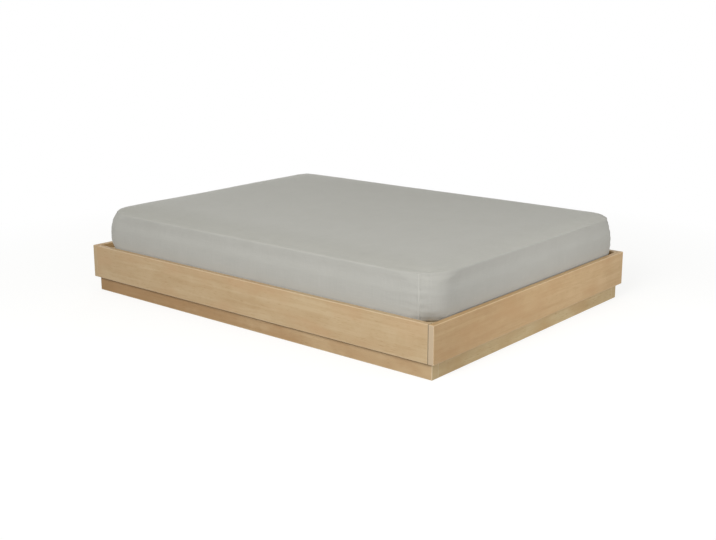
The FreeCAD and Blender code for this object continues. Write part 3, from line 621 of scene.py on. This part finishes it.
def wrapped(form, rows):
    """Points, faces and places on the flat cut: the form's top, and rings down the rows."""
    top = form.top()
    index = np.arange(top[..., 0].size).reshape(top.shape[:2])
    points = [top.reshape(-1, 3)]
    faces = [grid_faces(index)]
    flat = [form.cut.reshape(-1, 2)[faces[0]]]
    above, count = index[form.rim], len(form.rim[0])
    step = np.arange(count)
    after = np.roll(step, -1)
    drop = 0.0
    for number, row in enumerate(rows):
        points.append(form.ring(*row))
        below = index.size + number * count + step
        inset, _, level = row
        before = rows[number - 1] if number else (TOP_DRAW, 1, WELT)
        next_drop = drop + math.hypot(inset - before[0], level - before[2])
        faces.append(np.stack([above, below, below[after], above[after]], axis=-1))
        here, there = form.along[:-1], form.along[1:]
        high, low = np.full(count, -drop), np.full(count, -next_drop)
        sides = [(here, high), (here, low), (there, low), (there, high)]
        flat.append(np.stack([np.stack(pair, axis=-1) for pair in sides], axis=1))
        above, drop = below, next_drop
    return np.concatenate(points), np.concatenate(faces), np.concatenate(flat)


def softened(points, faces, loose, rounds):
    """The points drawn towards their neighbours' mean, each as far as it is loose."""
    edges = np.concatenate([faces[:, [a, (a + 1) % 4]] for a in range(4)])
    edges = np.unique(np.sort(edges, axis=1), axis=0)
    both = np.concatenate([edges, edges[:, ::-1]])
    counts = np.bincount(both[:, 0], minlength=len(points))[:, None]
    for _ in range(rounds):
        total = np.zeros_like(points)
        np.add.at(total, both[:, 0], points[both[:, 1]])
        points = points + loose[:, None] * (total / counts - points)
    return points


# ---- pieces from meshes --------------------------------------------------------------

def put(name, data):
    """An object, in the scene."""
    made = bpy.data.objects.new(name, data)
    bpy.context.scene.collection.objects.link(made)
    return made


def mesh_piece(name, points, faces, finish, flat=None):
    """A smooth piece in one material, with its faces' places on the flat cut as a map."""
    mesh = bpy.data.meshes.new(name)
    mesh.from_pydata(np.asarray(points).tolist(), [], [list(face) for face in faces])
    if flat is not None:
        mesh.uv_layers.new(name="cut").data.foreach_set("uv", np.asarray(flat).ravel())
    mesh.materials.append(finish)
    mesh.polygons.foreach_set("use_smooth", np.ones(len(mesh.polygons), bool))
    return put(name, mesh)


def coordinates(mesh):
    """A mesh's vertices as rows of an array."""
    spots = np.empty(3 * len(mesh.vertices))
    mesh.vertices.foreach_get("co", spots)
    return spots.reshape(-1, 3)


def normals_of(points, faces):
    """Each point's normal, from the diagonals of the faces round it."""
    first, second, third, fourth = (points[faces[:, k]] for k in range(4))
    face_normals = np.cross(third - first, fourth - second)
    total = np.zeros_like(points)
    for k in range(4):
        np.add.at(total, faces[:, k], face_normals)
    return total / np.maximum(np.linalg.norm(total, axis=1), 1e-12)[:, None]


def applied(piece):
    """The piece with its modifiers made part of its mesh."""
    seen = piece.evaluated_get(bpy.context.evaluated_depsgraph_get())
    mesh = bpy.data.meshes.new_from_object(seen)
    mesh.name = piece.name
    piece.modifiers.clear()
    piece.data = mesh
    return piece


def noise_at(points, *scale):
    """Smooth noise, -1 to 1, at points stretched by a scale."""
    return np.array([noise.noise(Vector(point)) for point in points * scale])


# ---- fitted sheet --------------------------------------------------------------------

RIDGE, RIDGE_WIDTH = 0.0028, 0.006  # over the tape edge
DIP, DIP_PLACE, DIP_WIDTH = 0.0011, 0.019, 0.010  # beside it, on top
SOFT_WIDTH, SOFT_ROUNDS = 0.014, 11  # how the sheet rounds off that edge
# The folds' height, the gap from one to the next, and how far from a seam they reach.
FOLD, FOLD_GAP, FOLD_REACH = 0.0014, 0.027, 0.085
GATHER, GATHER_GAP, GATHER_REACH, GATHER_DROP = 0.0010, 0.019, 0.05, 0.030
FAN, FAN_PUCKERS, FAN_REACH, FAN_START = 0.0013, 7, 0.055, 0.02
SLACK, CREASE = 0.0013, 0.0005
RUFFLE_GAP = 0.021


def bump_at(distance, width):
    """1 at no distance, fading smoothly over a width."""
    return np.exp(-(distance / width) ** 2)


class SheetFacts:
    """Where each point of the sheet lies, as what its folds depend on."""

    def __init__(self, form, rows):
        in_from_rim = (HALF - TOP_DRAW - np.abs(form.cut)).min(axis=-1).ravel()
        count = len(form.rim[0])
        drops = np.repeat([row[2] - WELT for row in rows], count)
        self.rim_distance = np.concatenate([in_from_rim, drops])
        self.is_top = np.arange(len(self.rim_distance)) < len(in_from_rim)
        self.is_side = ~self.is_top
        self.along = np.concatenate([np.zeros(len(in_from_rim)),
                                     np.tile(form.along[:-1], len(rows))])
        self.around = form.along[-1]
        self.row_start = len(in_from_rim)

    def from_seam(self, form, index):
        """Signed distance round the rim from a seam, for points of the sides."""
        half_way = self.around / 2
        return (self.along - form.along[index] + half_way) % self.around - half_way


def tape_ridge(facts, corner_share):
    """The sheet over the mattress's tape edge: a low ridge with a dip on top beside it."""
    d = facts.rim_distance
    ridge = RIDGE * bump_at(d, RIDGE_WIDTH)
    dip = DIP * facts.is_top * bump_at(d - DIP_PLACE, DIP_WIDTH)
    return (ridge - dip) * (1 + 0.9 * corner_share)


def seam_folds(facts, form, points, corner):
    """Folds that run level from a corner's seam, and small ones that gather at its top."""
    index = form.seam_index(*corner)
    away = facts.from_seam(form, index)
    level = points[:, 2]
    waves = noise_at(points, 9, 9, 14)
    reach = np.exp(-np.abs(away) / FOLD_REACH) * facts.is_side
    above_foot = np.clip((level - DECK) / 0.05, 0, 1)
    between = above_foot * np.clip((WELT - level) / 0.02, 0, 1)
    folds = FOLD * reach * between * np.sin(2 * math.pi * level / FOLD_GAP + 4.0 * waves)
    drop = np.where(facts.is_side, -facts.rim_distance, 0)
    gathers = GATHER * facts.is_side * np.exp(-drop / GATHER_DROP)
    gathers = gathers * np.exp(-np.abs(away) / GATHER_REACH)
    gathers = gathers * np.sin(2 * math.pi * away / GATHER_GAP + 2.0 * waves)
    seam_top = points[facts.row_start + index]
    offset = points[:, :2] - seam_top[:2]
    distance = np.linalg.norm(offset, axis=1)
    turn = np.arctan2(offset[:, 1], offset[:, 0])
    fan = FAN * np.exp(-distance / FAN_REACH) * np.clip(distance / FAN_START, 0, 1)
    fan = fan * facts.is_top * np.sin(FAN_PUCKERS * turn + 3.0 * waves)
    return folds + gathers + fan


def sheet_shape(form, rows):
    """The sheet's points, faces and flat places, with all its folds."""
    points, faces, flat = wrapped(form, rows)
    facts = SheetFacts(form, rows)
    near_rim = bump_at(facts.rim_distance, SOFT_WIDTH)
    points = softened(points, faces, 0.9 * near_rim, SOFT_ROUNDS)
    corner_share = np.concatenate([form.corner.ravel(),
                                   np.tile(form.corner[form.rim], len(rows))])
    out = tape_ridge(facts, corner_share)
    for corner in CORNERS:
        out += seam_folds(facts, form, points, corner)
    slack = noise_at(points, 2.6, 3.1, 4.0)
    crease = noise_at(points, 7.0, 8.0, 13.0)
    under = points[:, 2] < DECK + EDGE_ROUNDING
    calm = np.where(under, 0, 1 - 0.6 * near_rim)
    out += (SLACK * slack + CREASE * crease) * calm
    points = points + normals_of(points, faces) * out[:, None]
    hem = np.clip((HALF - BOTTOM_DRAW - EDGE_ROUNDING - np.abs(points[:, :2])).min(axis=1)
                  / HEM_WIDTH, 0, 1) * under
    ruffle = 0.5 + 0.5 * np.sin(2 * math.pi * facts.along / RUFFLE_GAP + 5 * slack)
    points[:, 2] += HEM_RUFFLE * hem ** 1.5 * (1 - hem ** 8) * ruffle
    points[:, 2] = np.maximum(points[:, 2], DECK + 0.0001)
    return points, faces, flat


def make_sheet():
    """The sheet with its thickness, and the form, points and faces of its outer skin."""
    form = Form(0, FINE_STEP, COARSE_STEP)
    under = DECK + SHEET_UNDER
    rows = side_rows(FINE_STEP, 0.008) + turn_rows(12, under) + hem_rows(9, under)
    points, faces, flat = sheet_shape(form, rows)
    piece = mesh_piece("fitted_sheet_cloth", points, faces, SHEET_CLOTH, flat)
    solid = piece.modifiers.new("thickness", "SOLIDIFY")
    solid.thickness, solid.offset = SHEET_THICKNESS, -1  # inwards
    applied(piece)
    return piece, form, points, faces


# ---- things set out in rows, by geometry nodes ---------------------------------------

GEOMETRY = "NodeSocketGeometry"


def growth(name, given):
    """An empty geometry tree that takes a mesh, with more named inputs."""
    group = bpy.data.node_groups.new(name, "GeometryNodeTree")
    group.interface.new_socket(name="Geometry", in_out="INPUT", socket_type=GEOMETRY)
    for label, kind in given.items():
        group.interface.new_socket(name=label, in_out="INPUT", socket_type=kind)
    group.interface.new_socket(name="Geometry", in_out="OUTPUT", socket_type=GEOMETRY)
    start, end = group.nodes.new("NodeGroupInput"), group.nodes.new("NodeGroupOutput")
    return Tree(group), start.outputs, end.inputs["Geometry"]


def set_out(tree, end, points, instance, rotation, finish):
    """Instances on points, made real, in one material."""
    rows = tree.add("GeometryNodeInstanceOnPoints",
                    {"Points": points, "Instance": instance, "Rotation": rotation})
    real = tree.add("GeometryNodeRealizeInstances", {"Geometry": rows})
    tree.feed(end, tree.add("GeometryNodeSetMaterial", {"Geometry": real, "Material": finish}))


def turned_at_random(tree, lie, low, high, seed):
    """How instances lie, each turned about its own Z by some angle between two."""
    angle = tree.add("FunctionNodeRandomValue", {2: low, 3: high, "Seed": seed}, out=1,
                     data_type="FLOAT")
    turn = tree.add("FunctionNodeAxisAngleToRotation", {"Axis": (0, 0, 1), "Angle": angle})
    return tree.add("FunctionNodeRotateRotation", {"Rotation": lie, "Rotate By": turn},
                    rotation_space="LOCAL")


def stitch_growth():
    """Stitches along the lines of a mesh, each a slim bead of thread."""
    tree, given, end = growth("stitches", {
        "Spacing": FLOAT, "Length": FLOAT, "Thread": FLOAT, "Seed": "NodeSocketInt",
        "Material": "NodeSocketMaterial"})
    curves = tree.add("GeometryNodeMeshToCurve", {"Mesh": given["Geometry"]})
    points = tree.add("GeometryNodeCurveToPoints",
                      {"Curve": curves, "Length": given["Spacing"]}, mode="LENGTH")
    lie = tree.add("FunctionNodeAlignRotationToVector",
                   {"Vector": points.node.outputs["Tangent"]}, axis="X")
    lie = turned_at_random(tree, lie, -0.12, 0.12, given["Seed"])
    bead = tree.add("GeometryNodeMeshUVSphere", {"Segments": 6, "Rings": 4, "Radius": 0.5})
    size = tree.add("ShaderNodeCombineXYZ",
                    {"X": given["Length"], "Y": given["Thread"], "Z": given["Thread"]})
    bead = tree.add("GeometryNodeTransform", {"Geometry": bead, "Scale": size})
    set_out(tree, end, points, bead, lie, given["Material"])
    return tree.tree


def screw_growth():
    """A screw on each vertex of a mesh, facing the way that the vertex says."""
    tree, given, end = growth("screws", {"Screw": "NodeSocketObject", "Seed": "NodeSocketInt",
                                         "Material": "NodeSocketMaterial"})
    facing = tree.add("GeometryNodeInputNamedAttribute", {"Name": "facing"},
                      data_type="FLOAT_VECTOR")
    lie = tree.add("FunctionNodeAlignRotationToVector", {"Vector": facing}, axis="Z")
    lie = turned_at_random(tree, lie, 0.0, math.pi, given["Seed"])
    screw = tree.add("GeometryNodeObjectInfo", {"Object": given["Screw"]}, out="Geometry")
    set_out(tree, end, given["Geometry"], screw, lie, given["Material"])
    return tree.tree


def grown(name, base, group, **given):
    """What a geometry tree makes of a base mesh, as plain arrays of points and faces."""
    holder = put(name, base)
    grower = holder.modifiers.new("growth", "NODES")
    grower.node_group = group
    for socket in group.interface.items_tree:
        if socket.in_out == "INPUT" and socket.name in given:
            grower[socket.identifier] = given[socket.name]
    seen = holder.evaluated_get(bpy.context.evaluated_depsgraph_get())
    made = bpy.data.meshes.new_from_object(seen)
    faces = [tuple(face.vertices) for face in made.polygons]
    bpy.data.objects.remove(holder)
    return coordinates(made), faces


def joined(parts):
    """Several sets of points and faces as one."""
    points, faces, before = [], [], 0
    for some_points, some_faces in parts:
        points.append(some_points)
        faces += [tuple(before + corner for corner in face) for face in some_faces]
        before += len(some_points)
    return np.concatenate(points), faces


def lines_mesh(name, lines):
    """A mesh of open lines of points."""
    mesh = bpy.data.meshes.new(name)
    edges, before = [], 0
    for line in lines:
        edges += [(before + k, before + k + 1) for k in range(len(line) - 1)]
        before += len(line)
    mesh.from_pydata(np.concatenate(lines).tolist(), edges, [])
    return mesh


# ---- seams and elastic ---------------------------------------------------------------

SEAM_HALF_WIDTH = 0.0042
SEAM_HEIGHT = 0.0011
# Across a seam: share of its half width, share of its height.
SEAM_SECTION = [(-1, -0.25), (-0.8, 0.65), (-0.35, 0.95), (0, 1), (0.35, 0.95), (0.8, 0.65),
                (1, -0.25)]
STITCH = dict(Spacing=0.0042, Length=0.0031, Thread=0.00055, Seed=4)
STITCH_ROW = 0.0022  # either side of the seam's middle
SEAM_LEANS = 38  # degrees round the corner, the way that a seam leans in at its top
SEAM_WINDOW = 30  # points of the rim, either side, among which a seam's plane is met
SEAM_LIFT = 0.0003  # seam's middle above the sheet's skin
SEAM_END = 0.0040  # the seam's foot above the slats


def strip(path, sides, ups, section, width, height):
    """A closed strip along a path, its section drawn across it."""
    rows = [path + sides * (across * width) + ups * (lift * height) for across, lift in section]
    points = np.stack(rows, axis=1)
    steps, around = points.shape[:2]
    index = np.arange(steps * around).reshape(steps, around)
    after = np.roll(index, -1, axis=1)
    faces = np.stack([index[:-1], after[:-1], after[1:], index[1:]], axis=-1).reshape(-1, 4)
    caps = [tuple(index[0, ::-1]), tuple(index[-1])]
    return points.reshape(-1, 3), [tuple(face) for face in faces] + caps


def seam_frames(form, points, faces, corner):
    """Down one corner's seam: its points, and the ways across it and out from it."""
    count = len(form.rim[0])
    window = (form.seam_index(*corner) + np.arange(-SEAM_WINDOW, SEAM_WINDOW + 1)) % count
    start = form.cut[..., 0].size
    rings = points[start:].reshape(-1, count, 3)[:, window]
    normals = normals_of(points, faces)[start:].reshape(-1, count, 3)[:, window]
    facing = seam_facing(*corner, SEAM_LEANS)
    middle = rings[len(rings) // 3, SEAM_WINDOW, :2]
    off_plane = (rings[..., :2] - middle) @ (-facing[1], facing[0])
    path, ups = (np.array([[np.interp(0, off, ring[:, axis]) for axis in range(3)]
                           for off, ring in zip(off_plane, some)]) for some in (rings, normals))
    for _ in range(2):
        path[1:-1] = (path[:-2] + 2 * path[1:-1] + path[2:]) / 4
        ups[1:-1] = (ups[:-2] + 2 * ups[1:-1] + ups[2:]) / 4
    ups /= np.linalg.norm(ups, axis=1)[:, None]
    sides = np.cross(np.gradient(path, axis=0), ups)
    sides /= np.linalg.norm(sides, axis=1)[:, None]
    above = path[:, 2] > DECK + SEAM_END
    return (path + SEAM_LIFT * ups)[above], sides[above], ups[above]


def make_seams(form, points, faces):
    """The four corner seams of the sheet, and the stitches on them and on the hem."""
    seams, rows = [], []
    for corner in CORNERS:
        path, sides, ups = seam_frames(form, points, faces, corner)
        seams.append(strip(path, sides, ups, SEAM_SECTION, SEAM_HALF_WIDTH, SEAM_HEIGHT))
        for way in (-1, 1):
            rows.append(path + sides * way * STITCH_ROW + ups * SEAM_HEIGHT * 0.9)
    seam_points, seam_faces = joined(seams)
    piece = mesh_piece("corner_seams", seam_points, seam_faces, SEAM_CLOTH)
    around_and_up = np.column_stack([seam_points[:, 0] - seam_points[:, 1], seam_points[:, 2]])
    corners = np.concatenate([np.array(face) for face in seam_faces])
    cut = piece.data.uv_layers.new(name="cut")
    cut.data.foreach_set("uv", around_and_up[corners].ravel())
    hem = closed_path(BOTTOM_DRAW + HEM_WIDTH + ELASTIC_WIDTH / 2, DECK + ELASTIC_LOW, 0.004)
    rows.append(np.concatenate([hem, hem[:1]]))
    stitches = grown("stitches", lines_mesh("stitch_lines", rows), STITCHES, Material=THREAD,
                     **STITCH)
    return piece, mesh_piece("sheet_stitches", *stitches, THREAD)


def closed_path(inset, level, step):
    """Round the mattress in plan at an inset, its corners those of the hem's opening."""
    half_x, half_y = HALF - inset
    radius = HEM_CORNER - (inset - BOTTOM_DRAW - HEM_WIDTH)
    middles = [(half_x - radius, -half_y + radius), (half_x - radius, half_y - radius),
               (-half_x + radius, half_y - radius), (-half_x + radius, -half_y + radius)]
    turns = max(4, round(radius * math.pi / 2 / step))
    path = []
    for quarter, middle in enumerate(middles):
        angles = (quarter - 1 + np.arange(turns + 1) / turns) * math.pi / 2
        arc = np.array(middle) + radius * np.column_stack([np.cos(angles), np.sin(angles)])
        following = np.array(middles[(quarter + 1) % 4])
        facing = np.array([math.cos(angles[-1]), math.sin(angles[-1])])
        target = following + radius * facing
        length = np.linalg.norm(target - arc[-1])
        count = max(2, round(length / step))
        shares = np.arange(1, count) / count
        path += [arc, arc[-1] + shares[:, None] * (target - arc[-1])]
    path = np.concatenate(path)
    return np.column_stack([path, np.full(len(path), level)])


def make_elastic():
    """The elastic in the hem: a flat band with fine ribs across it."""
    middle = closed_path(BOTTOM_DRAW + HEM_WIDTH + ELASTIC_WIDTH / 2, 0, RIB / 4)
    ahead = np.roll(middle, -1, axis=0) - np.roll(middle, 1, axis=0)
    inwards = np.column_stack([-ahead[:, 1], ahead[:, 0], np.zeros(len(ahead))])
    inwards /= np.linalg.norm(inwards, axis=1)[:, None]
    rib = RIB_HEIGHT * np.sin(np.arange(len(middle)) * math.pi / 2)
    half, low, high = ELASTIC_WIDTH / 2, ELASTIC_LOW, ELASTIC_LOW + ELASTIC_THICK
    section = [(-half, low), (half, low), (half, high), (0, high + 0.0002), (-half, high)]
    rings = []
    for across, level in section:
        lift = level + rib * (1 if level > low else 0)
        rings.append(middle + inwards * across + np.outer(DECK + lift, (0, 0, 1)))
    points = np.stack(rings, axis=1)
    steps, around = points.shape[:2]
    index = np.arange(steps * around).reshape(steps, around)
    here, after = index, np.roll(index, -1, axis=1)
    ahead_here, ahead_after = np.roll(here, -1, axis=0), np.roll(after, -1, axis=0)
    faces = np.stack([here, ahead_here, ahead_after, after], axis=-1).reshape(-1, 4)
    walked = np.arange(steps + 1) * RIB / 4
    across = np.linspace(0, 3 * ELASTIC_WIDTH, around + 1)
    flat = np.empty((steps, around, 4, 2))
    flat[..., 0] = np.stack([walked[:-1], walked[1:], walked[1:], walked[:-1]], axis=-1)[:, None]
    flat[..., 1] = np.stack([across[:-1], across[:-1], across[1:], across[1:]], axis=-1)
    return mesh_piece("hem_band", points.reshape(-1, 3), faces, ELASTIC_CLOTH, flat)


# ---- screws --------------------------------------------------------------------------

SCREW_NODES = ("slat_screws", "cleat_screws", "tie_screws", "block_screws",
               "corner_angle_screws", "beam_angle_screws")


def screw_places(node):
    """Each screw of a node: the middle of its head's face and the way that it faces."""
    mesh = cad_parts[node].data
    spots, same = np.unique(coordinates(mesh).round(6), axis=0, return_inverse=True)
    edges = np.empty(2 * len(mesh.edges), int)
    mesh.edges.foreach_get("vertices", edges)
    first, second = same.ravel()[edges].reshape(-1, 2).T
    label, before = np.arange(len(spots)), None  # one label for all that edges join
    while before is None or (label != before).any():
        before = label.copy()
        np.minimum.at(label, first, before[second])
        np.minimum.at(label, second, label[first])
    places, facings = [], []
    for one in np.unique(label):
        some = spots[label == one]
        low, high = some.min(axis=0), some.max(axis=0)
        axis = int(np.argmax(high - low))
        beside = [k for k in range(3) if k != axis]
        top = np.ptp(some[some[:, axis] > high[axis] - 1e-4][:, beside[0]])
        foot = np.ptp(some[some[:, axis] < low[axis] + 1e-4][:, beside[0]])
        way = 1 if top > foot else -1
        place = (low + high) / 2
        place[axis] = high[axis] if way > 0 else low[axis]
        places.append(place)
        facings.append(way * np.eye(3)[axis])
    size = (high - low)[beside[0]] / 2, min(top, foot) / 2, (high - low)[axis]
    return np.array(places), np.array(facings), size


def screw_shape(head, shank, length):
    """A wood screw, head up: a flat head with a cross recess, a shank and a point."""
    height, recess, sides = 0.0025, 0.0014, 12
    angles = math.radians(15) + 2 * math.pi * np.arange(sides) / sides
    ring = np.column_stack([np.cos(angles), np.sin(angles)])
    levels = [(0.92 * head, 0), (head, -0.08 * head), (head, -height), (shank, -height),
              (shank, 2 * shank - length)]
    rings = [np.column_stack([radius * ring, np.full(sides, level)]) for radius, level in levels]
    slim, reach = 0.14 * head, 0.58 * head
    cross = []
    for quarter in range(4):
        turn = Matrix.Rotation(quarter * math.pi / 2, 2)
        cross += [turn @ Vector(spot) for spot in ((reach, slim), (slim, slim), (slim, reach))]
    cross = np.array(cross)
    rings += [np.column_stack([cross, np.full(sides, level)]) for level in (0, -recess)]
    points = np.concatenate([*rings, [(0, 0, -length)]])
    tip, top, floor = len(points) - 1, 5 * sides, 6 * sides
    faces = []
    for k in range(sides):
        after = (k + 1) % sides
        for row in range(4):
            high, low = row * sides, (row + 1) * sides
            faces.append((low + k, low + after, high + after, high + k))
        faces.append((tip, 4 * sides + after, 4 * sides + k))
        faces.append((k, after, top + after, top + k))
        faces.append((top + k, top + after, floor + after, floor + k))
    faces.append((floor + 1, floor + 4, floor + 7, floor + 10))
    for k in range(0, sides, 3):
        faces.append(tuple(floor + (k + step) % sides for step in (-1, 0, 1, -2)))
    return points, faces


def make_screws():
    """Every screw of the frame, in place of the plain ones."""
    parts = []
    for number, node in enumerate(SCREW_NODES):
        places, facings, size = screw_places(node)
        points, faces = screw_shape(*size)
        pattern = mesh_piece("screw_pattern", points, faces, ZINC)
        base = bpy.data.meshes.new("screw_places")
        base.from_pydata(places.tolist(), [], [])
        base.attributes.new("facing", "FLOAT_VECTOR", "POINT").data.foreach_set(
            "vector", facings.ravel())
        parts.append(grown("screw_rows", base, SCREWS, Screw=pattern, Seed=number,
                           Material=ZINC))
        bpy.data.objects.remove(pattern)
    piece = mesh_piece("wood_screws", *joined(parts), ZINC)
    piece.data.polygons.foreach_set("use_smooth", np.zeros(len(piece.data.polygons), bool))
    return piece


# ---- mattress ------------------------------------------------------------------------

def make_mattress():
    """The mattress in its cover: the sheet's form a little smaller, closed underneath."""
    form = Form(SHEET_ROOM, 0.006, 0.030)
    rows = side_rows(0.006, 0.020) + turn_rows(6, DECK + MATTRESS_UNDER)
    points, faces, flat = wrapped(form, rows)
    count = len(form.rim[0])
    inset, _, level = rows[-1]
    base = form.plan(inset, 0, corner_tuck(level))
    in_opening = (HALF - BOTTOM_DRAW - HEM_WIDTH - np.abs(base)).min(axis=-1)
    sag = np.clip(in_opening / 0.03, 0, 1)
    level = level - MATTRESS_SAG * sag * sag * (3 - 2 * sag)
    base = np.concatenate([base, level[..., None]], axis=-1)
    inner = np.ones(base.shape[:2], bool)
    inner[form.rim] = False
    index = np.zeros(base.shape[:2], int)
    index[inner] = len(points) + np.arange(inner.sum())
    index[form.rim] = len(points) - count + np.arange(count)
    cut_index = np.arange(inner.size).reshape(inner.shape)
    points = np.concatenate([points, base[inner]])
    faces = np.concatenate([faces, grid_faces(index.T)])
    flat = np.concatenate([flat, form.cut.reshape(-1, 2)[grid_faces(cut_index.T)]])
    return mesh_piece("mattress_body", points, faces, TICKING, flat)


# ---- camera, light and floor ---------------------------------------------------------

def make_camera():
    """The photograph's view: where the camera stood, where it looked, how it was framed."""
    data = bpy.data.cameras.new("camera")
    camera = put("camera", data)
    width, height, focal = 716, 540, 1067.2
    level_x, level_y = 366, 240  # the pixel that the camera looks straight at
    turn, dip = 2.26333, 0.22483
    data.sensor_width = 36.0
    data.lens = focal / width * data.sensor_width
    data.shift_x = (width / 2 - level_x) / width
    data.shift_y = (level_y - height / 2) / width
    camera.location = (3.0970, -3.6514, 1.3486)
    camera.rotation_euler = (math.pi / 2 - dip, 0, turn - math.pi / 2)
    data.clip_start, data.clip_end = 0.05, 200
    bpy.context.scene.camera = camera


def make_lamp(name, place, target, size, power):
    """A square lamp that faces a target."""
    data = bpy.data.lights.new(name, "AREA")
    data.shape = "SQUARE"
    data.size = size
    data.energy = power
    lamp = put(name, data)
    lamp.location = place
    away = Vector(place) - Vector(target)
    lamp.rotation_euler = away.to_track_quat("Z", "Y").to_euler()


def seen_directly(tree):
    """1 where the camera, a mirror or glass sees a surface, 0 where it only gives light."""
    path = tree.tree.nodes.new("ShaderNodeLightPath").outputs
    seen = tree.math("MAXIMUM", path["Is Camera Ray"], path["Is Glossy Ray"])
    return tree.math("MAXIMUM", seen, path["Is Transmission Ray"])


def make_world(level, overhead):
    """White to look at; as light it turns warmer and a little stronger towards overhead."""
    world = bpy.data.worlds.new("studio")
    bpy.context.scene.world = world
    world.use_nodes = True
    tree = Tree(world.node_tree)
    ground = world.node_tree.nodes["Background"]
    height = tree.parts(tree.add("ShaderNodeTexCoord"))[2]  # of the way looked, -1 to 1
    strength = tree.remap(height, 0, 1, level, overhead)
    seen = seen_directly(tree)
    warmth = tree.times(tree.remap(height, 0.3, 1), tree.minus(1, seen))
    lit = tree.times(strength, tree.minus(1, seen))
    white, warm = (1, 1, 1, 1), (1, 0.99, 0.80, 1)
    tree.feed_all(ground, {"Color": tree.mix(warmth, white, warm),
                           "Strength": tree.math("ADD", lit, seen)})


def make_floor():
    """A white floor that keeps the shadow, and that isn't there when seen from below.

    To the camera it is mostly lit by itself near the bed and wholly so farther off. For
    the light that it throws back, it is a plain mid grey.
    """
    reach, corners = 60, 96  # metres from the middle to the rim, and its corners
    angles = np.linspace(0, 2 * math.pi, corners, endpoint=False)
    rim = reach * np.column_stack([np.cos(angles), np.sin(angles), np.zeros(corners)])

    def look(tree, shader):
        nodes = tree.tree.nodes
        away = tree.add("ShaderNodeVectorMath", {0: tree.spot()}, out="Value",
                        operation="LENGTH")
        far = tree.remap(away, 1.2, 2.6)  # metres from the middle of the bed
        near_white = tree.mix(far, tint(145, 145, 145), tint(0, 0, 0))
        seen = seen_directly(tree)
        mid_grey = tint(160, 160, 160)
        glow = tree.times(seen, tree.remap(far, 0, 1, 0.78, 1.0))
        tree.feed_all(shader, {
            "Base Color": tree.mix(seen, mid_grey, near_white), "Roughness": 0.9,
            "Specular IOR Level": 0.0, "Emission Color": (1, 1, 1, 1),
            "Emission Strength": glow})
        clear = tree.add("ShaderNodeBsdfTransparent")
        below = nodes.new("ShaderNodeNewGeometry").outputs["Backfacing"]
        either = tree.add("ShaderNodeMixShader", {0: below, 1: shader.outputs[0], 2: clear})
        tree.feed(nodes["Material Output"].inputs["Surface"], either)

    floor = mesh_piece("floor", rim, [range(corners)], material("floor_white", look))


# ---- the whole bed -------------------------------------------------------------------

# Each lamp's place, what it is turned to, its size in metres and its power in watts.
LAMPS = {"key": ((1.34, -4.4, 2.6), (0.2, -0.2, 0.2), 2.3, 163),
         "side": ((2.5, 0.15, 0.55), (0.98, 0.15, 0.2), 0.9, 13),
         "back": ((-3.6, 3.0, 0.6), (-0.4, 0.4, 0.1), 1.4, 42)}

make_camera()
make_world(0.38, 0.40)
make_floor()
for lamp in LAMPS:
    make_lamp(lamp, *LAMPS[lamp])
bpy.context.scene.view_settings.view_transform = "Standard"

dress_boards()
ZINC = material("zinc_plate", zinc_look)
THREAD = material("thread", thread_look)
STITCHES, SCREWS = stitch_growth(), screw_growth()
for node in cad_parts:
    if "_angle_" in node and node not in SCREW_NODES:
        dress(node, ZINC)

screws = make_screws()
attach(screws, "frame")
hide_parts(*SCREW_NODES)

sheet, *sheet_lay = make_sheet()
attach(sheet, "mattress")
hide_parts("fitted_sheet")

mattress = make_mattress()
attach(mattress, "mattress")
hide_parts("support_foam", "comfort_foam", "cover_base_panel", "cover_border",
            "cover_top_panel")

seams, stitches = make_seams(*sheet_lay)
for piece in (seams, stitches):
    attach(piece, "mattress")
elastic = make_elastic()
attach(elastic, "mattress")
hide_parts("hem_elastic")
